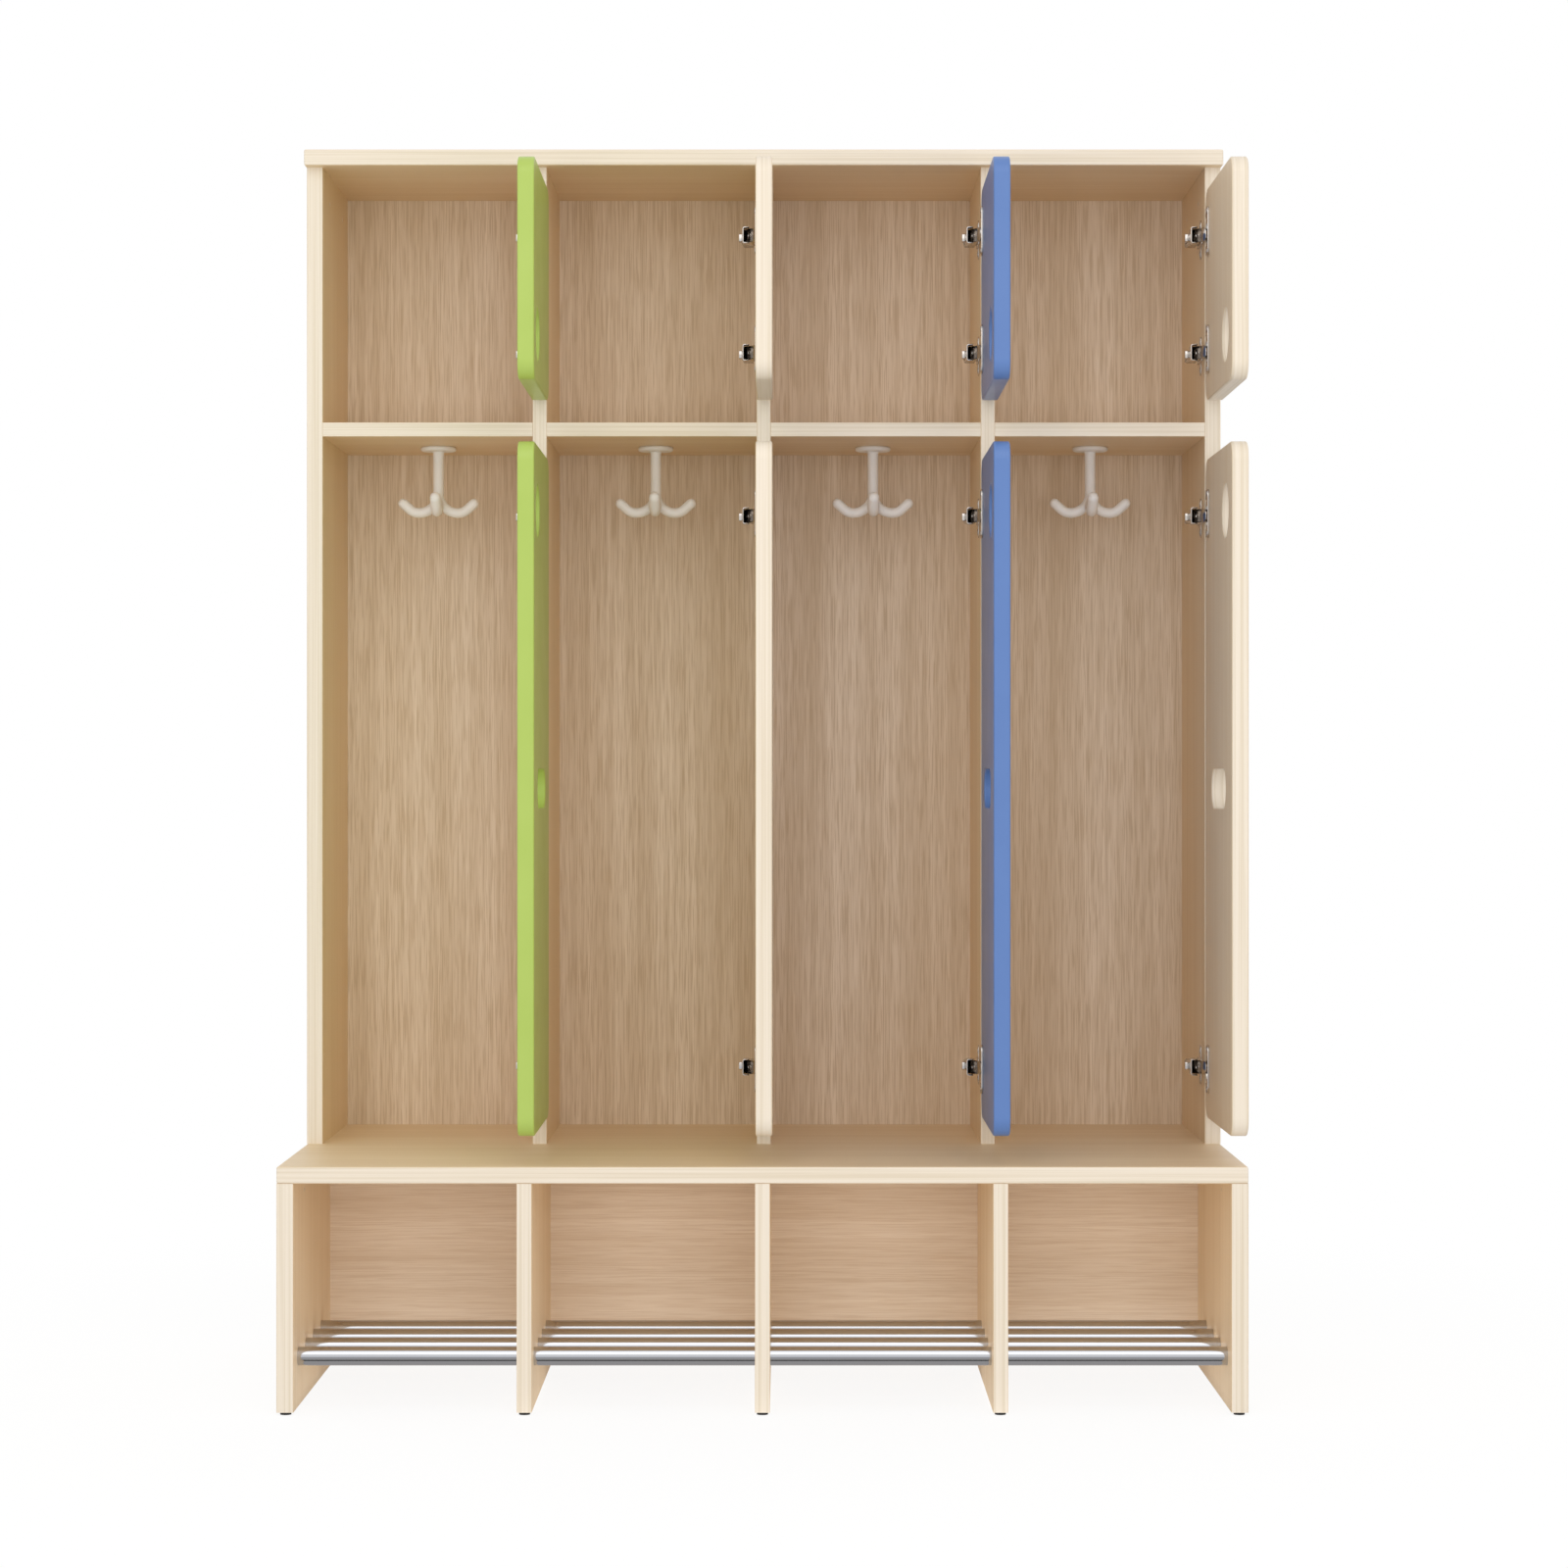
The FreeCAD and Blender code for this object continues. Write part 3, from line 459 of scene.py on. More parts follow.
class Workpiece:
    """A mesh on the workbench and the steps that shape it. Its sizes are in millimetres."""

    def __init__(self, piece: bpy.types.Object) -> None:
        """Takes up an object that is already in the scene."""
        self.piece = piece

    @staticmethod
    def clear_table() -> None:
        """Deselects every object."""
        bpy.ops.object.select_all(action="DESELECT")

    @classmethod
    def block(cls, name: str, low: Vector, high: Vector, turn: float = 0.0) -> "Workpiece":
        """Starts from a box.

        Args:
            name: Name of the piece.
            low: Its lowest corner before it is turned.
            high: Its highest corner.
            turn: Degrees that it is turned about an upright axis through its middle.

        Returns:
            The workpiece.
        """
        cls.clear_table()
        bpy.ops.mesh.primitive_cube_add(size=1, location=(low + high) / 2 * MM,
                                        rotation=(0, 0, math.radians(turn)),
                                        scale=(high - low) * MM)
        return cls.started(name)

    @classmethod
    def turned(cls, name: str, radius: float, length: float, middle: Vector,
               axis: Vector) -> "Workpiece":
        """Starts from a cylinder.

        Args:
            name: Name of the piece.
            radius: Its radius.
            length: Its length.
            middle: The middle of its axis.
            axis: The direction of its axis.

        Returns:
            The workpiece.
        """
        cls.clear_table()
        turn = axis.to_track_quat("Z", "Y").to_euler()
        bpy.ops.mesh.primitive_cylinder_add(vertices=ROUND_SIDES, radius=radius * MM,
                                            depth=length * MM, location=middle * MM, rotation=turn)
        return cls.started(name)

    @classmethod
    def started(cls, name: str) -> "Workpiece":
        """Names a fresh primitive and moves its place into its mesh.

        Args:
            name: Name of the piece.

        Returns:
            The workpiece.
        """
        bpy.ops.object.transform_apply(location=True, rotation=True, scale=True)
        bpy.context.object.name = name
        return cls(bpy.context.object)

    @classmethod
    def copy_of(cls, node: str, name: str) -> "Workpiece":
        """Starts from a copy of a CAD node, with its loose triangles merged.

        Args:
            node: The CAD node.
            name: Name of the piece.

        Returns:
            The workpiece.
        """
        copy = cls(bpy.data.objects.new(name, frame["nodes"][node].data.copy()))
        bpy.context.scene.collection.objects.link(copy.piece)
        copy.take_up()
        bpy.ops.object.mode_set(mode="EDIT")
        bpy.ops.mesh.select_all(action="SELECT")
        bpy.ops.mesh.remove_doubles(threshold=MERGE_MM * MM)
        return copy.put_down()

    def take_up(self) -> None:
        """Makes this the only selected object."""
        self.clear_table()
        self.piece.select_set(True)
        bpy.context.view_layer.objects.active = self.piece

    def put_down(self) -> "Workpiece":
        """Leaves edit mode."""
        bpy.ops.object.mode_set(mode="OBJECT")
        return self

    def start_picking(self, kind: str) -> None:
        """Clears the selection of vertices, edges or faces, and leaves edit mode.

        Args:
            kind: FACE or EDGE, which is what will be picked.
        """
        self.take_up()
        bpy.ops.object.mode_set(mode="EDIT")
        bpy.ops.mesh.select_mode(type=kind)
        bpy.ops.mesh.select_all(action="DESELECT")
        bpy.ops.object.mode_set(mode="OBJECT")

    def pick_faces(self, wanted: Picker) -> None:
        """Selects faces and stays in edit mode.

        Args:
            wanted: Says of a face whether it is picked.
        """
        self.start_picking("FACE")
        for face in self.piece.data.polygons:
            face.select = wanted(face.center / MM, face.normal)
        bpy.ops.object.mode_set(mode="EDIT")

    def pick_edges(self, wanted: Picker) -> None:
        """Selects edges and stays in edit mode.

        Args:
            wanted: Says of an edge whether it is picked.
        """
        self.start_picking("EDGE")
        corners = self.piece.data.vertices
        for edge in self.piece.data.edges:
            start, end = (corners[index].co / MM for index in edge.vertices)
            edge.select = wanted((start + end) / 2, (end - start).normalized())
        bpy.ops.object.mode_set(mode="EDIT")

    def open_sides(self, *sides: Vector) -> "Workpiece":
        """Deletes the flat faces that look towards some sides.

        Args:
            *sides: The sides.

        Returns:
            The workpiece.
        """
        self.pick_faces(lambda at, normal: any(facing(side)(at, normal) for side in sides))
        bpy.ops.mesh.delete(type="FACE")
        return self.put_down()

    def round_edges(self, wanted: Picker, radius: float, segments: int = 4) -> "Workpiece":
        """Rounds some edges of the piece.

        Args:
            wanted: Says of an edge whether it is rounded.
            radius: The radius.
            segments: Steps of the round.

        Returns:
            The workpiece.
        """
        self.pick_edges(wanted)
        bpy.ops.mesh.bevel(offset=radius * MM, segments=segments, affect="EDGES")
        return self.put_down()

    def draw_out(self, wanted: Picker, move: Vector, narrow: float = 1.0) -> "Workpiece":
        """Extrudes some faces.

        Args:
            wanted: Says of a face whether it is drawn out.
            move: How far and where to.
            narrow: What the moved faces' height is multiplied by.

        Returns:
            The workpiece.
        """
        self.pick_faces(wanted)
        bpy.ops.mesh.extrude_region_move(TRANSFORM_OT_translate={"value": move * MM})
        if narrow != 1.0:
            bpy.ops.transform.resize(value=(1, 1, narrow), center_override=(0, 0, 0))
        return self.put_down()

    def shift(self, wanted: Picker, move: Vector) -> "Workpiece":
        """Moves some faces and stretches what they join.

        Args:
            wanted: Says of a face whether it is moved.
            move: How far and where to.

        Returns:
            The workpiece.
        """
        self.pick_faces(wanted)
        bpy.ops.transform.translate(value=move * MM)
        return self.put_down()

    def stretch(self, wanted: Picker, factors: Vector, middle: Vector) -> "Workpiece":
        """Enlarges some faces about a point.

        Args:
            wanted: Says of a face whether it is enlarged.
            factors: What its sizes are multiplied by.
            middle: The point that stays.

        Returns:
            The workpiece.
        """
        self.pick_faces(wanted)
        bpy.ops.transform.resize(value=factors, center_override=middle * MM)
        return self.put_down()

    def sink(self, wanted: Picker, border: float, depth: float) -> "Workpiece":
        """Insets some faces and pushes them in, or out where the depth is negative.

        Args:
            wanted: Says of a face whether it is sunk.
            border: Width of the rim that stays.
            depth: How deep the middle goes.

        Returns:
            The workpiece.
        """
        self.pick_faces(wanted)
        bpy.ops.mesh.inset(thickness=border * MM, depth=-depth * MM)
        return self.put_down()

    def apply(self, kind: str, **settings: Any) -> "Workpiece":
        """Adds a modifier and applies it.

        Args:
            kind: Blender's type name of the modifier.
            **settings: Values of its properties.

        Returns:
            The workpiece.
        """
        self.take_up()
        modifier = self.piece.modifiers.new(kind.lower(), kind)
        for name, value in settings.items():
            setattr(modifier, name, value)
        bpy.ops.object.modifier_apply(modifier=modifier.name)
        return self

    def thicken(self, sheet: float) -> "Workpiece":
        """Gives an open shell its wall, inwards."""
        return self.apply("SOLIDIFY", thickness=sheet * MM, offset=-1.0, use_even_offset=True)

    def soften(self, width: float) -> "Workpiece":
        """Breaks every sharp edge to a width."""
        return self.apply("BEVEL", width=width * MM, segments=BROKEN_EDGE_STEPS,
                          limit_method="ANGLE", angle_limit=math.radians(SHARP_ANGLE))

    def cut_with(self, cutter: "Workpiece") -> "Workpiece":
        """Cuts another piece out of this one and clears it away.

        Args:
            cutter: The other piece.

        Returns:
            The workpiece.
        """
        self.apply("BOOLEAN", operation="DIFFERENCE", solver="EXACT", object=cutter.piece)
        bpy.data.objects.remove(cutter.piece)
        return self

    def flatten(self) -> "Workpiece":
        """Dissolves edges that lie in a flat face.

        Returns:
            The workpiece.
        """
        self.take_up()
        bpy.ops.object.mode_set(mode="EDIT")
        bpy.ops.mesh.select_all(action="SELECT")
        bpy.ops.mesh.dissolve_limited(angle_limit=math.radians(FLAT_ANGLE))
        return self.put_down()

    def join(self, others: Iterable["Workpiece"]) -> "Workpiece":
        """Takes other pieces into this one's mesh.

        Args:
            others: The other pieces.

        Returns:
            The workpiece.
        """
        self.take_up()
        for other in others:
            other.piece.select_set(True)
        bpy.ops.object.join()
        return self

    def copies(self, places: Iterable[Vector]) -> "Workpiece":
        """Repeats the piece.

        Args:
            places: Where each copy goes, from the place that the piece is modelled at.

        Returns:
            One workpiece of all the copies, without the model itself.
        """
        made = []
        for place in places:
            copy = bpy.data.objects.new(self.piece.name, self.piece.data.copy())
            copy.data.transform(Matrix.Translation(place * MM))
            bpy.context.scene.collection.objects.link(copy)
            made.append(Workpiece(copy))
        return made[0].join(made[1:])

    def finish(self, name: str, body: str, material: bpy.types.Material, slot: str,
               *nodes: str) -> None:
        """Dresses the piece and puts it in the place of CAD nodes.

        Args:
            name: Name of the finished piece.
            body: The body that it moves with.
            material: Its material.
            slot: The record's material slot. It is not used.
            *nodes: The CAD nodes that it stands for.
        """
        self.take_up()
        bpy.ops.object.shade_smooth_by_angle(angle=math.radians(SMOOTH_ANGLE))
        self.piece.name = name
        self.piece.data.materials.clear()
        self.piece.data.materials.append(material)
        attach(self.piece, body)
        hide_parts(*nodes)
        log.info("%s stands for %s", name, ", ".join(nodes))


def dress(node: str, material: bpy.types.Material) -> None:
    """Gives a CAD node its material.

    Args:
        node: Name of the node.
        material: The material of all its faces.
    """
    slots = frame["nodes"][node].data.materials
    slots.clear()
    slots.append(material)
    log.info("%s wears %s", node, material.name)


# Sub-assemblies


@dataclass
class Wardrobe:
    """The four-bay cabinet on the rear half of the bench."""

    board: Laminate
    back: Laminate
    bays: int = BAYS

    def dress(self) -> None:
        """Dresses the top, sides, dividers, shelves and back."""
        upright = self.board.material(Axis.X, Axis.Z)
        level = self.board.material(Axis.Z, Axis.X)
        dress("top_board", level)
        for side in ("left", "right"):
            dress(f"side_panel_{side}", upright)
        for index in range(1, self.bays):
            dress(f"divider_{index}", upright)
        for index in range(1, self.bays + 1):
            dress(f"shelf_{index}", level)
        dress("back_panel", self.back.material(Axis.Y, Axis.Z))


@dataclass
class Bench:
    """The seat board on its legs, with the shoe rods and the panels behind the shoes."""

    board: Laminate
    back: Laminate
    rod: Plating
    glide: Moulding
    dowel: Laminate
    bays: int = BAYS
    rods: int = 4

    def dress(self) -> None:
        """Dresses the seat, legs, back panels, rods, glides and dowels."""
        upright = self.board.material(Axis.X, Axis.Z)
        dress("seat_board", self.board.material(Axis.Z, Axis.X))
        for index in range(1, self.bays + 2):
            dress(f"leg_{index}", upright)
        back = self.back.material(Axis.Y, Axis.X)
        for index in range(1, self.bays + 1):
            dress(f"bench_back_panel_{index}", back)
        chrome = self.rod.material()
        for index in range(1, self.rods + 1):
            dress(f"shoe_rod_{index}", chrome)
        dress("glides", self.glide.material())
        dress("dowels", self.dowel.material(Axis.X, Axis.Z))


@dataclass
class Doors:
    """The eight doors: a coloured pair, then a wooden one, twice over."""

    wood: Laminate
    green: Coating
    blue: Coating

    def dress(self) -> None:
        """Dresses the upper and lower door of each bay."""
        wood = self.wood.material(Axis.X, Axis.Z)
        for index, material in enumerate((self.green.material(), wood, self.blue.material(), wood), 1):
            dress(f"upper_door_{index}", material)
            dress(f"lower_door_{index}", material)


@dataclass
class Screw:
    """A raised countersunk screw with a cross recess.

    It is drawn with the seat of its head at the origin, its head to the left of it and its
    shank to the right. Its sizes are in millimetres, and the floor of the recess is a share of
    the head's height.
    """

    shank_length: float
    head_radius: float = 3.3
    head_height: float = 0.8
    shank_radius: float = 1.75
    crown: float = 0.45
    crown_border: float = 1.15
    recess_length: float = 3.4
    recess_width: float = 0.8
    recess_floor: float = 0.25
    edge: float = 0.14

    def build(self, name: str) -> Workpiece:
        """Models the screw.

        Args:
            name: Name of the piece.

        Returns:
            The workpiece.
        """
        middle = Vector((-self.head_height / 2, 0, 0))
        screw = Workpiece.turned(name, self.head_radius, self.head_height, middle, RIGHT)
        screw.sink(facing(RIGHT), self.head_radius - self.shank_radius, 0.0)
        screw.draw_out(lambda at, normal: facing(RIGHT)(at, normal) and at.length < self.edge,
                       RIGHT * self.shank_length)
        screw.sink(facing(LEFT), self.crown_border, -self.crown)
        half_length, half_width = self.recess_length / 2, self.recess_width / 2
        outer = self.head_height + 2 * self.crown
        for half_y, half_z in ((half_length, half_width), (half_width, half_length)):
            low = Vector((-outer, -half_y, -half_z))
            high = Vector((-self.head_height * self.recess_floor, half_y, half_z))
            screw.cut_with(Workpiece.block("cross", low, high))
        return screw.soften(self.edge)


@dataclass
class Hinges:
    """The concealed hinges: an arm on a mounting plate, a cup in the door, and their screws.

    A hinge is drawn round the point where the bay side of its panel meets the front plane, at
    the height of its pin. Its sizes are in millimetres, and those of the rivet's dome and hollow
    are shares of the rivet's radius and height.
    """

    nickel: Plating
    zinc: Plating
    bays: int = BAYS
    pin: tuple[float, float] = (8.0, -9.5)
    pin_radius: float = 1.0
    pin_half: float = 7.5
    flange_half: float = 27.5
    sheet: float = 1.2
    sheet_edge: float = 0.22
    arm_height: float = 16.0
    arm_half: float = 5.0
    arm_rear: float = 63.0
    arm_depth: float = 12.0
    head_rear: float = 14.0
    head_front: float = 4.0
    head_half: float = 9.4
    head_reach: float = 8.5
    corner: float = 2.3
    link_half: float = 7.7
    link_rear: float = 12.0
    link_front: tuple[float, float] = (-1.2, -8.4)
    nose_start: tuple[float, float] = (0.27, -10.6)
    nose_half: float = 4.4
    eye_radius: float = 1.9
    eye_clearance: float = 0.05
    rivet_radius: float = 2.3
    rivet_height: float = 0.9
    rivet_share: float = 0.53
    dome_border: float = 0.4
    dome_rise: float = 0.3
    dome_aligned: float = 0.95
    hollow_border: float = 0.15
    hollow_depth: float = 0.9
    cam_rise: float = 4.2
    cam_front: float = 18.0
    cam_rear: float = 26.0
    cam_half: float = 4.5
    cam_corner: float = 1.2
    flange_face: float = -0.7
    flange_rise: float = 0.8
    edge_reach: float = 0.1
    cup_edge: float = 0.3
    pin_edge: float = 0.25
    cup_screw: tuple[float, float, float] = (-1.5, -33.0, 22.5)
    cup_shank: float = 14.0
    plate_screw: tuple[float, float, float] = (-1.0, 37.0, 16.0)
    plate_shank: float = 13.0
    arm_screw_y: float = 50.0
    arm_shank: float = 9.6
    flat_head: float = 0.5
    flat_crown: float = 0.2
    plate_front: float = 16.0
    plate_rear: float = 60.0
    plate_half: float = 7.0
    plate_sheet: float = 2.0
    plate_edge: float = 0.3
    rail_half: float = 3.2
    rail_left: float = -14.4
    wing_half: float = 22.5
    wing_front: float = 31.0
    wing_rear: float = 43.0
    wing_sheet: float = 1.0
    wing_corner: float = 5.4
    wing_corner_steps: int = 6

    def doors(self) -> list[str]:
        """Names the doors that hang on hinges."""
        return [f"{kind}_door_{index}" for kind in ("upper", "lower")
                for index in range(1, self.bays + 1)]

    def places(self, door: str) -> list[Vector]:
        """Finds the hinges of a door.

        Args:
            door: Name of the door.

        Returns:
            The origin of its lower and of its upper hinge.
        """
        joint = next(joint for joint in frame["joints"] if joint["child"] == door)
        low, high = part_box(f"{door}_hinge_cups")
        x = joint["pos_m"][0] / MM - self.pin[0]
        heights = (low.z / MM + self.flange_half, high.z / MM - self.flange_half)
        return [Vector((x, 0, height)) for height in heights]

    def all_places(self) -> list[Vector]:
        """Finds the hinges of every door."""
        return [place for door in self.doors() for place in self.places(door)]

    def pressed_box(self, name: str, low: Vector, high: Vector) -> Workpiece:
        """Folds a box of sheet that is open to the front, the rear and the panel.

        Args:
            name: Name of the piece.
            low: Its lowest corner.
            high: Its highest corner.

        Returns:
            The workpiece.
        """
        box = Workpiece.block(name, low, high)
        box.round_edges(lambda at, run: running(Axis.Y)(at, run) and at.x < low.x + self.sheet,
                        self.corner)
        return box.open_sides(FRONT, REAR, RIGHT).thicken(self.sheet)

    def link(self) -> Workpiece:
        """Models the slanted link from the arm into the cup, and its eye round the pin.

        Returns:
            The workpiece.
        """
        start = Vector((self.sheet - self.arm_height, self.link_rear, 0))
        end = Vector((*self.link_front, 0))
        run = end - start
        middle = (start + end) / 2
        half = Vector((run.length / 2, self.sheet / 2, self.link_half))
        link = Workpiece.block("link", middle - half, middle + half,
                               math.degrees(math.atan2(run.y, run.x)))
        nose = Vector((*self.nose_start, 0))
        link.draw_out(facing(run.normalized()), nose - end, self.nose_half / self.link_half)
        link.draw_out(lambda at, normal: (at - nose).length < self.sheet / 2,
                      Vector((self.pin[0] - nose.x, 0, 0)))
        pin_at = Vector((*self.pin, 0))
        eye = Workpiece.turned("eye", self.eye_radius, 2 * self.nose_half, pin_at, UP)
        bore = Workpiece.turned("bore", self.pin_radius + self.eye_clearance, 4 * self.nose_half,
                                pin_at, UP)
        return link.join([eye.cut_with(bore)])

    def rivet(self, at: Vector, axis: Vector) -> Workpiece:
        """Models a domed rivet with a sunk middle.

        Args:
            at: The middle of its seat.
            axis: Where its head looks.

        Returns:
            The workpiece.
        """
        radius, height = self.rivet_radius, self.rivet_height
        rivet = Workpiece.turned("rivet", radius, 2 * height, at, axis)
        rivet.sink(facing(axis), radius * self.dome_border, -height * self.dome_rise)
        return rivet.sink(facing(axis, self.dome_aligned), radius * self.hollow_border,
                          height * self.hollow_depth)

    def cam(self) -> Workpiece:
        """Models the cast block that sets the arm's depth, on the arm's outer side.

        Returns:
            The workpiece.
        """
        low = Vector((-self.arm_height - self.cam_rise, self.cam_front, -self.cam_half))
        high = Vector((self.sheet / 2 - self.arm_height, self.cam_rear, self.cam_half))
        cam = Workpiece.block("cam", low, high).round_edges(running(Axis.X), self.cam_corner)
        return cam.sink(facing(LEFT), self.cam_corner / 2, self.cam_corner / 2)

    def arm(self) -> Workpiece:
        """Models one arm from its sheet-metal parts.

        Returns:
            The workpiece.
        """
        left, head_half, arm_half = -self.arm_height, self.head_half, self.arm_half
        head = self.pressed_box("head", Vector((left, -self.head_front, -head_half)),
                                Vector((-self.head_reach, self.head_rear, head_half)))
        channel = self.pressed_box("channel", Vector((left, self.head_rear - self.corner, -arm_half)),
                                   Vector((left + self.arm_depth, self.arm_rear, arm_half)))
        start = Vector((left + self.sheet, self.link_rear, 0))
        run = Vector((*self.link_front, 0)) - start
        outward = Vector((run.y, -run.x, 0)).normalized()
        on_link = start + run * self.rivet_share + outward * self.sheet / 2
        rivet = self.rivet(on_link, outward)
        return head.join([channel, self.link(), rivet, self.cam()]).soften(self.sheet_edge)

    def plate(self) -> Workpiece:
        """Models one mounting plate: a base with a rail for the arm, and two thin wings.

        Returns:
            The workpiece.
        """
        base = Workpiece.block("base", Vector((-self.plate_sheet, self.plate_front, -self.plate_half)),
                               Vector((0, self.plate_rear, self.plate_half)))
        rail = Workpiece.block("rail", Vector((self.rail_left, self.plate_front, -self.rail_half)),
                               Vector((-self.plate_sheet / 2, self.plate_rear, self.rail_half)))
        wings = Workpiece.block("wings", Vector((-self.wing_sheet, self.wing_front, -self.wing_half)),
                                Vector((0, self.wing_rear, self.wing_half)))
        wings.round_edges(running(Axis.X), self.wing_corner, self.wing_corner_steps)
        return base.join([rail, wings]).soften(self.plate_edge)

    def put_at_hinges(self, model: Workpiece, name: str, node: str) -> None:
        """Puts a modelled pressing at every hinge, in the place of the plain ones.

        Args:
            model: The pressing, which is cleared away.
            name: Name of the finished piece.
            node: The CAD node of the plain ones.
        """
        pressings = model.copies(self.all_places())
        bpy.data.objects.remove(model.piece)
        pressings.finish(name, "root", self.nickel.material(), "hinge_nickel", node)

    def build_cups(self) -> None:
        """Raises the pressed rim of each door's hinge cups and breaks its edges."""
        for door in self.doors():
            node = f"{door}_hinge_cups"
            face_x = self.places(door)[0].x + self.flange_face
            cups = Workpiece.copy_of(node, "cups").flatten()
            cups.shift(lambda at, normal: abs(at.x - face_x) < self.edge_reach
                       and facing(LEFT)(at, normal), LEFT * self.flange_rise)
            cups.soften(self.cup_edge)
            cups.finish(f"{door}_cup_pressings", door, self.nickel.material(), "hinge_nickel", node)

    def pairs(self, origins: Iterable[Vector], spot: tuple[float, float, float]) -> list[Vector]:
        """Lists the places of two screws, above and below the middle of each hinge.

        Args:
            origins: The origins of the hinges.
            spot: The upper screw's place, from the hinge's origin.

        Returns:
            The places.
        """
        x, y, half = spot
        return [origin + Vector((x, y, side * half)) for origin in origins for side in (-1, 1)]

    def build_screws(self) -> None:
        """Puts modelled screws and pins in the place of the plain ones."""
        zinc = self.zinc.material()
        plate_screw = Screw(self.plate_shank, head_height=self.flat_head,
                            crown=self.flat_crown).build("plate_screw")
        arm_screw = Screw(self.arm_shank).build("arm_screw")
        cup_screw = Screw(self.cup_shank, head_height=self.flat_head,
                          crown=self.flat_crown).build("cup_screw")
        pin = Workpiece.turned("pin", self.pin_radius, 2 * self.pin_half, Vector((*self.pin, 0)), UP)
        pin.soften(self.pin_edge)
        origins = self.all_places()
        on_arm = Vector((-self.arm_height, self.arm_screw_y, 0))
        on_arms = arm_screw.copies(origin + on_arm for origin in origins)
        screws = plate_screw.copies(self.pairs(origins, self.plate_screw)).join([on_arms])
        screws.finish("hinge_cross_screws", "root", zinc, "screw_steel", "hinge_screws")
        for door in self.doors():
            origins = self.places(door)
            fixings = cup_screw.copies(self.pairs(origins, self.cup_screw))
            fixings.join([pin.copies(origins)])
            fixings.finish(f"{door}_cup_screws", door, zinc, "screw_steel",
                           f"{door}_hinge_fixings")
        for model in (plate_screw, arm_screw, cup_screw, pin):
            bpy.data.objects.remove(model.piece)

    def dress(self) -> None:
        """Builds the arms, plates, cups and screws."""
        self.put_at_hinges(self.arm(), "hinge_arm_pressings", "hinge_arms")
        self.put_at_hinges(self.plate(), "hinge_plate_pressings", "hinge_plates")
        self.build_cups()
        self.build_screws()


@dataclass
class CoatHooks:
    """The three-armed hooks under the shelves, moulded in one piece with soft inner corners.

    Their sizes are in millimetres.
    """

    plastic: Moulding
    stud: Plating
    count: int = BAYS
    voxel: float = 0.9
    smoothing: int = 14
    smoothing_factor: float = 0.5
    swell: float = 0.45
    plate_radius: float = 20.5
    arms_height: float = 40.0
    front_arm_start: float = 8.0
    front_arm_size: tuple[float, float, float] = (1.12, 1.0, 1.2)

    def build(self, index: int, plastic: bpy.types.Material) -> None:
        """Blends the arms of a hook into its stem.

        Args:
            index: Number of the bay, from the left.
            plastic: The hook's material.
        """
        low, high = (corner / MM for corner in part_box(f"coat_hook_{index}"))
        base = Vector(((low.x + high.x) / 2, high.y - self.plate_radius, low.z))
        hook = Workpiece.copy_of(f"coat_hook_{index}", "hook")
        hook.stretch(lambda at, normal: at.y < base.y - self.front_arm_start
                     and at.z < base.z + self.arms_height, Vector(self.front_arm_size), base)
        hook.apply("REMESH", mode="VOXEL", voxel_size=self.voxel * MM)
        hook.apply("SMOOTH", factor=self.smoothing_factor, iterations=self.smoothing)
        hook.apply("DISPLACE", strength=self.swell * MM, mid_level=0.0)
        hook.finish(f"moulded_hook_{index}", "root", plastic, "hook_plastic",
                    f"coat_hook_{index}")

    def dress(self) -> None:
        """Builds the hooks and dresses their studs."""
        plastic = self.plastic.material()
        for index in range(1, self.count + 1):
            self.build(index, plastic)
        dress("hook_studs", self.stud.material())


@dataclass(frozen=True)
class Lamp:
    """A rectangular soft lamp, with its place, its width and height, and its watts."""

    name: str
    place: tuple[float, float, float]
    size: tuple[float, float]
    power: float
    glow: Glow

    def hang(self, aim: tuple[float, float, float]) -> None:
        """Adds the lamp.

        Args:
            aim: The point it shines at.
        """
        data = bpy.data.lights.new(self.name, "AREA")
        data.shape = "RECTANGLE"
        data.size, data.size_y = self.size
        data.energy = self.power
        lamp = bpy.data.objects.new(self.name, data)
        lamp.location = self.place
        lamp.visible_glossy = self.glow is Glow.ALL
        x, y, z = (end - start for start, end in zip(self.place, aim))
        turn = math.atan2(x, y)
        tilt = math.atan2(z, math.hypot(x, y))
        lamp.rotation_euler = (RIGHT_ANGLE + tilt, 0, -turn)
        bpy.context.scene.collection.objects.link(lamp)


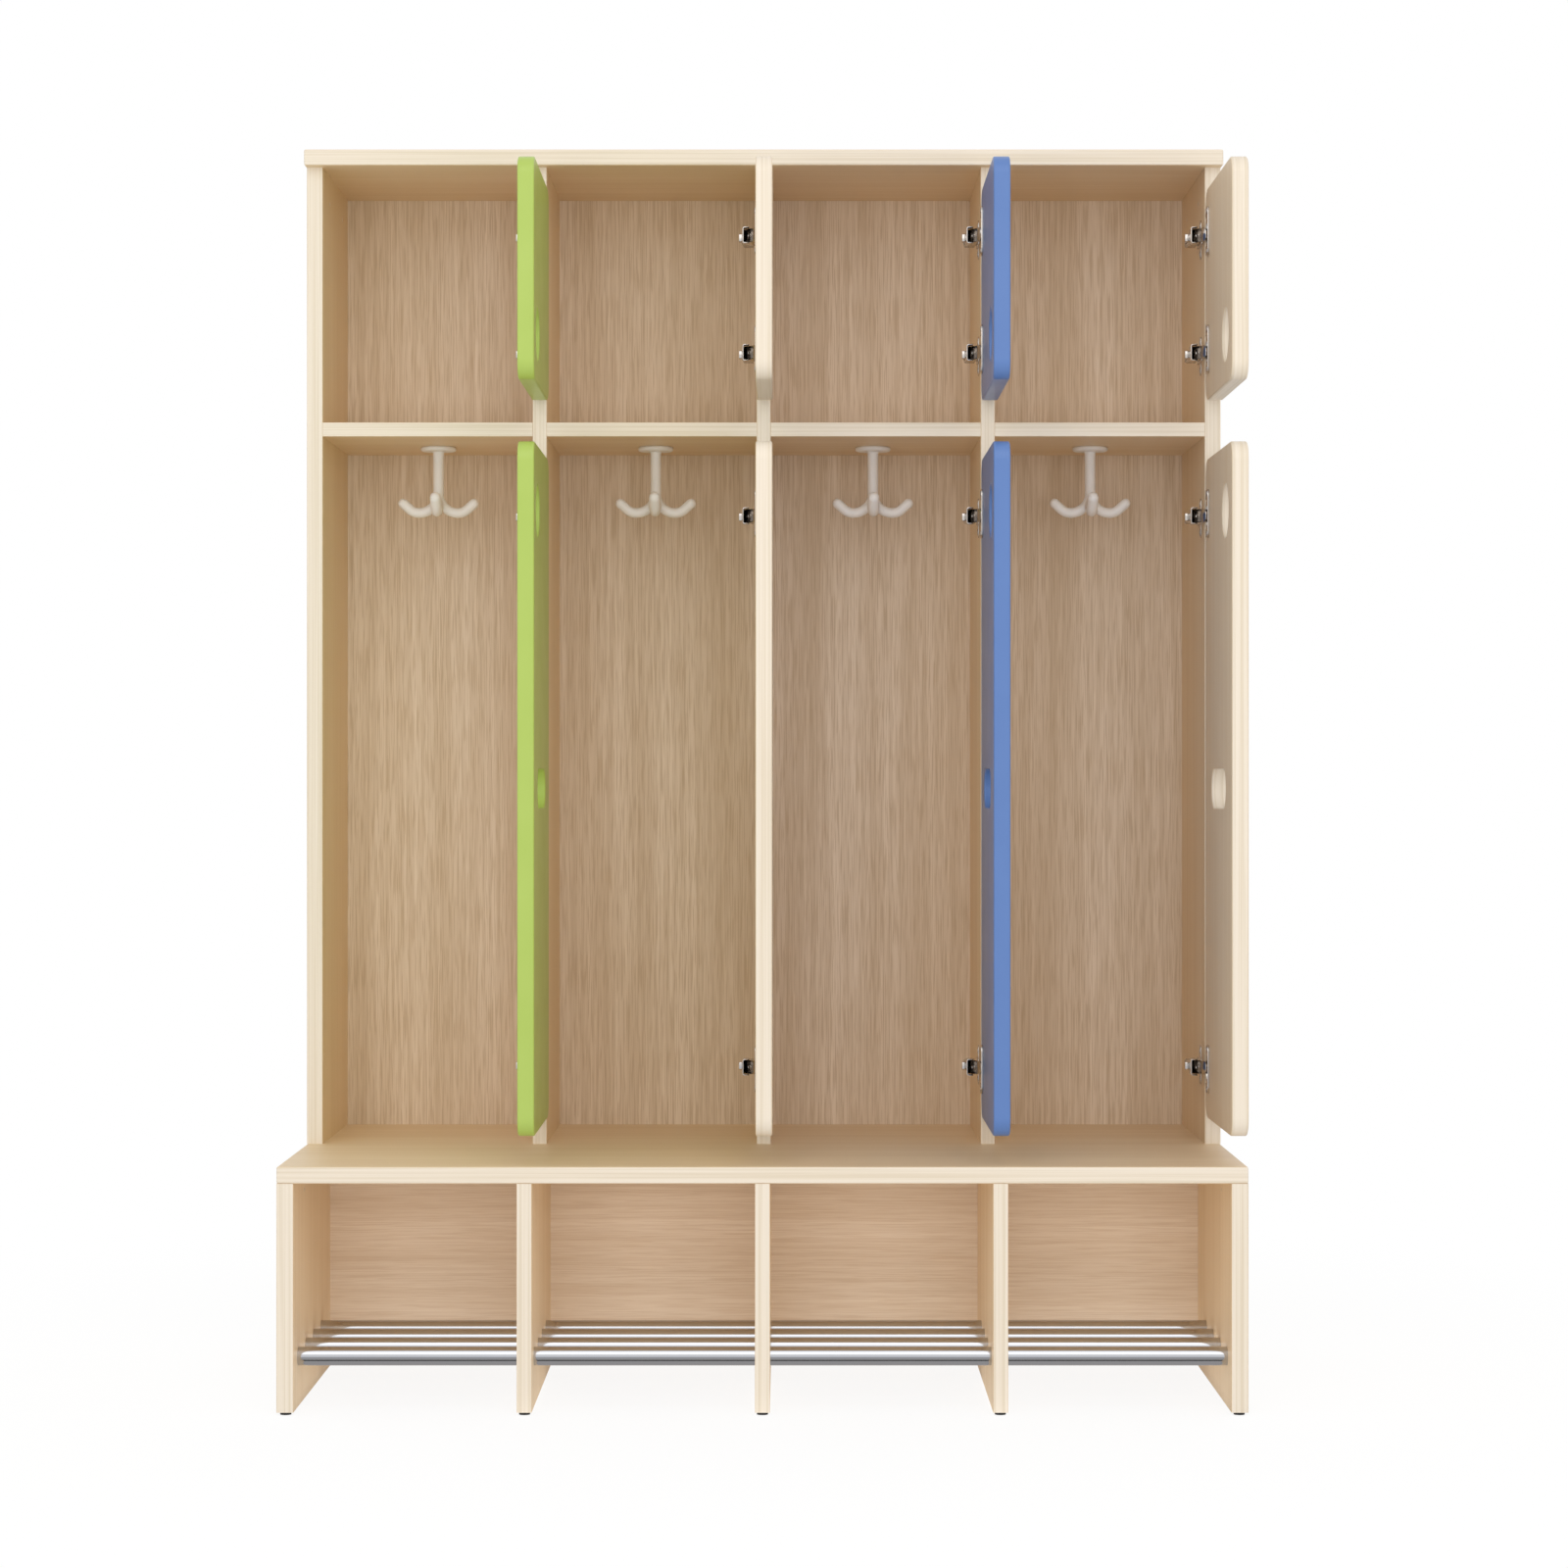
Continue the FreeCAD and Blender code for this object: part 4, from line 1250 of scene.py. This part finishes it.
@dataclass
class Studio:
    """White surroundings, soft lamps and the camera.

    The camera stands level in front of the bench, a little right of its middle. Places are in
    metres. The floor that the bench's metal mirrors is a painted reflection: a grey floor with a dark
    line ahead of the bench, set by the reflection fields, while the eye sees the floor white.
    """

    camera_place: tuple[float, float, float] = (0.023, -4.150, 0.673)
    lens_mm: float = 84.04
    sensor_mm: float = 36.0
    aim: tuple[float, float, float] = (0.0, 0.0, 0.7)
    lamps: tuple[Lamp, ...] = (
        Lamp("front_lamp", (0.0, -5.0, 0.6), (3.6, 2.0), 54.0, Glow.MATT),
        Lamp("upper_lamp", (0.0, -2.6, 2.6), (3.0, 2.4), 19.0, Glow.ALL),
    )
    world_light: float = 0.74
    floor_half: float = 6.0
    shadow_reach: tuple[float, float] = (0.8, 1.6)
    shadow_paper: str = "#6A6A6A"
    shadow_glow: float = 0.88
    lit_paper: str = "#A0A0A0"
    floor_light: float = 0.46
    shoe_space_light: float = 1.08
    shoe_space_front: tuple[float, float] = (-0.29, -0.21)
    shoe_space_rear: tuple[float, float] = (-0.06, 0.0)
    shoe_space_half: float = 0.49
    # A painted reflection, seen only in the metal's gloss: the floor turns from pale grey far ahead to
    # darker grey near the bench, where painted shade stands in for the floor's shade.
    painted_reflection_far: float = -1.3
    painted_reflection_near: float = -0.29
    painted_reflection_far_grey: str = "#E2E6EE"
    painted_reflection_near_grey: str = "#B4B2B0"
    # A painted shadow line in that reflection: a near-black band just ahead of the bench's front,
    # standing in for the shadow at its foot.
    painted_reflection_line: float = -0.268
    painted_reflection_line_half: float = 0.012
    painted_reflection_line_grey: str = "#101010"

    def add_camera(self) -> None:
        """Adds the camera at the photograph's viewing angle."""
        data = bpy.data.cameras.new("camera")
        data.lens = self.lens_mm
        data.sensor_width = self.sensor_mm
        data.sensor_fit = "HORIZONTAL"
        camera = bpy.data.objects.new("camera", data)
        camera.location = self.camera_place
        camera.rotation_euler = (RIGHT_ANGLE, 0, 0)
        bpy.context.scene.collection.objects.link(camera)
        bpy.context.scene.camera = camera

    def light_world(self) -> None:
        """Makes the surroundings white to the eye and in gloss, and soft to the object."""
        world = bpy.data.worlds.new("surroundings")
        world.use_nodes = True
        tree = world.node_tree
        tree.nodes.clear()
        path = add_node(tree, "ShaderNodeLightPath")
        seen = path.outputs["Is Camera Ray"]
        for ray in ("Is Glossy Ray", "Is Transmission Ray"):
            seen = add_node(tree, "ShaderNodeMath", {0: seen, 1: path.outputs[ray]},
                            operation="MAXIMUM").outputs[0]
        strength = add_node(tree, "ShaderNodeMix",
                            {"Factor": seen, "A": self.world_light, "B": 1.0},
                            data_type="FLOAT")
        shade = add_node(tree, "ShaderNodeBackground",
                         {"Color": linear(WHITE), "Strength": strength.outputs[0]})
        add_node(tree, "ShaderNodeOutputWorld", {"Surface": shade.outputs[0]})
        bpy.context.scene.world = world

    def floor_to_eye(self, tree: bpy.types.NodeTree,
                     coords: bpy.types.NodeSocket) -> bpy.types.NodeSocket:
        """Makes a white floor that shows the bench's shadow near it.

        Args:
            tree: The floor's node tree.
            coords: Object coordinates.

        Returns:
            The shader.
        """
        start, end = self.shadow_reach
        reach = add_node(tree, "ShaderNodeVectorMath", {0: coords}, operation="LENGTH")
        far = add_node(tree, "ShaderNodeMapRange",
                       {"Value": reach.outputs["Value"], "From Min": start, "From Max": end},
                       interpolation_type="SMOOTHSTEP")
        shaded = add_node(tree, "ShaderNodeBsdfDiffuse", {"Color": linear(self.shadow_paper)})
        glow = add_node(tree, "ShaderNodeEmission",
                        {"Color": linear(WHITE), "Strength": self.shadow_glow})
        near = add_node(tree, "ShaderNodeAddShader", {0: shaded.outputs[0], 1: glow.outputs[0]})
        white = add_node(tree, "ShaderNodeEmission", {"Color": linear(WHITE), "Strength": 1.0})
        seen = add_node(tree, "ShaderNodeMixShader",
                        {"Fac": far.outputs[0], 1: near.outputs[0], 2: white.outputs[0]})
        return seen.outputs[0]

    def floor_to_object(self, tree: bpy.types.NodeTree,
                        place: bpy.types.Node) -> bpy.types.NodeSocket:
        """Makes a softly glowing floor that is brightest under the seat.

        Args:
            tree: The floor's node tree.
            place: The separated object coordinates.

        Returns:
            The shader.
        """
        front, rear = self.shoe_space_front, self.shoe_space_rear
        paper = add_node(tree, "ShaderNodeBsdfDiffuse", {"Color": linear(self.lit_paper)})
        inside = add_node(tree, "ShaderNodeMapRange",
                          {"Value": place.outputs["Y"], "From Min": front[0],
                           "From Max": front[1]}).outputs[0]
        ahead = add_node(tree, "ShaderNodeMapRange",
                         {"Value": place.outputs["Y"], "From Min": rear[0], "From Max": rear[1],
                          "To Min": 1.0, "To Max": 0.0})
        between = add_node(tree, "ShaderNodeMath",
                           {0: place.outputs["X"], 1: 0.0, 2: self.shoe_space_half},
                           operation="COMPARE")
        for share in (ahead, between):
            inside = add_node(tree, "ShaderNodeMath", {0: inside, 1: share.outputs[0]},
                              operation="MULTIPLY").outputs[0]
        glowing = add_node(tree, "ShaderNodeMix",
                           {"Factor": inside, "A": self.floor_light, "B": self.shoe_space_light},
                           data_type="FLOAT")
        bounce = add_node(tree, "ShaderNodeEmission",
                          {"Color": linear(WHITE), "Strength": glowing.outputs[0]})
        lit = add_node(tree, "ShaderNodeAddShader", {0: paper.outputs[0], 1: bounce.outputs[0]})
        return lit.outputs[0]

    def painted_gloss_floor(self, tree: bpy.types.NodeTree,
                       place: bpy.types.Node) -> bpy.types.NodeSocket:
        """Paints the reflection that the bench's metal shows of the floor: a grey floor with a dark
        painted line ahead of the bench, which only glossy rays see.

        Args:
            tree: The floor's node tree.
            place: The separated object coordinates.

        Returns:
            The shader.
        """
        # Painted reflection: the mirrored floor greys towards the bench, as painted shade.
        nearness = add_node(tree, "ShaderNodeMapRange",
                            {"Value": place.outputs["Y"], "From Min": self.painted_reflection_far,
                             "From Max": self.painted_reflection_near})
        grey = add_node(tree, "ShaderNodeMix",
                        {"Factor": nearness.outputs[0], "A": linear(self.painted_reflection_far_grey),
                         "B": linear(self.painted_reflection_near_grey)}, data_type="RGBA")
        # A painted dark line, a shadow painted into the reflection, a little ahead of the bench's
        # front.
        line = add_node(tree, "ShaderNodeMath",
                        {0: place.outputs["Y"], 1: self.painted_reflection_line, 2: self.painted_reflection_line_half},
                        operation="COMPARE")
        lined = add_node(tree, "ShaderNodeMix",
                         {"Factor": line.outputs[0], "A": grey.outputs["Result"],
                          "B": linear(self.painted_reflection_line_grey)}, data_type="RGBA")
        reflection_paint = add_node(tree, "ShaderNodeEmission", {"Color": lined.outputs["Result"]})
        return reflection_paint.outputs[0]

    def floor_material(self) -> bpy.types.Material:
        """Makes a floor that differs to the eye, to the object and in its metal, where it is a painted
        reflection.

        Returns:
            The material.
        """
        material, tree = new_material("studio_floor")
        coords = add_node(tree, "ShaderNodeTexCoord").outputs["Object"]
        place = add_node(tree, "ShaderNodeSeparateXYZ", {0: coords})
        path = add_node(tree, "ShaderNodeLightPath")
        surface = add_node(tree, "ShaderNodeMixShader",
                           {"Fac": path.outputs["Is Camera Ray"],
                            1: self.floor_to_object(tree, place),
                            2: self.floor_to_eye(tree, coords)})
        # In gloss the floor shows a painted reflection instead of its own light.
        both = add_node(tree, "ShaderNodeMixShader",
                        {"Fac": path.outputs["Is Glossy Ray"], 1: surface.outputs[0],
                         2: self.painted_gloss_floor(tree, place)})
        finish_with(tree, both.outputs[0])
        return material

    def add_floor(self) -> None:
        """Lays the floor under the bench."""
        Workpiece.clear_table()
        bpy.ops.mesh.primitive_plane_add(size=2 * self.floor_half, location=(0, 0, 0))
        floor = bpy.context.object
        floor.name = "studio_floor"
        floor.data.materials.append(self.floor_material())

    def build(self) -> None:
        """Sets up the surroundings, lamps and camera."""
        bpy.context.scene.view_settings.view_transform = "Standard"
        self.light_world()
        self.add_floor()
        for lamp in self.lamps:
            lamp.hang(self.aim)
        self.add_camera()


# Every board has the same pale edge band. The print is quiet on the boards and doors, stronger
# behind the shoes and strongest on the cabinet's back.
EDGE_BAND = ("#F2E5D2", "#E6D7BF")
BOARD = Laminate("maple_laminate", "#F5DCB8", "#E3C69C", *EDGE_BAND, pore_depth=0.12)
BACK = Laminate("streaked_maple_laminate", "#F3E1CB", "#C2A680", *EDGE_BAND, pore_depth=0.5)
BENCH_BACK = Laminate("quiet_maple_laminate", "#FAE8D2", "#CFAF8A", *EDGE_BAND, pore_depth=0.25,
                      streak_depth=0.25, cloud_depth=0.2)
DOOR = Laminate("maple_door_laminate", "#F8E4C6", "#E9CFA8", *EDGE_BAND, pore_depth=0.1)
# The dowels are hidden in their bores.
BEECH = Laminate("plain_beech", "#D9B98C", "#C7A273", "#D9B98C", "#C7A273", pore_depth=0.2)
GREEN = Coating("green_satin_coating", "#B3CA61", "#AFC75C")
BLUE = Coating("blue_satin_coating", "#5F81BD", "#5C7EBA")
# Chrome mirrors sharply, nickel a little softer, and zinc has a satin gloss.
CHROME = Plating("polished_chrome_steel", "#C3C4C8", 0.05, smear_mm=30.0, smear_depth=0.04)
NICKEL = Plating("nickel_plated_steel", "#CCC6C0", 0.12, smear_mm=3.0, smear_depth=0.08)
ZINC = Plating("zinc_plated_steel", "#C3C2C0", 0.22, smear_mm=2.0, smear_depth=0.1)
CREAM = Moulding("cream_abs", "#FBF8F5", "#F6F3EF", 0.36)
BLACK = Moulding("black_polyethylene", "#1B1B1B", "#151515", 0.5)


def main() -> None:
    """Dresses each sub-assembly and sets up the studio."""
    logging.basicConfig(level=logging.INFO, format="%(name)s: %(message)s")
    Wardrobe(BOARD, BACK).dress()
    Bench(BOARD, BENCH_BACK, CHROME, BLACK, BEECH).dress()
    Doors(DOOR, GREEN, BLUE).dress()
    Hinges(NICKEL, ZINC).dress()
    CoatHooks(CREAM, ZINC).dress()
    Studio().build()


if __name__ == "__main__":
    main()
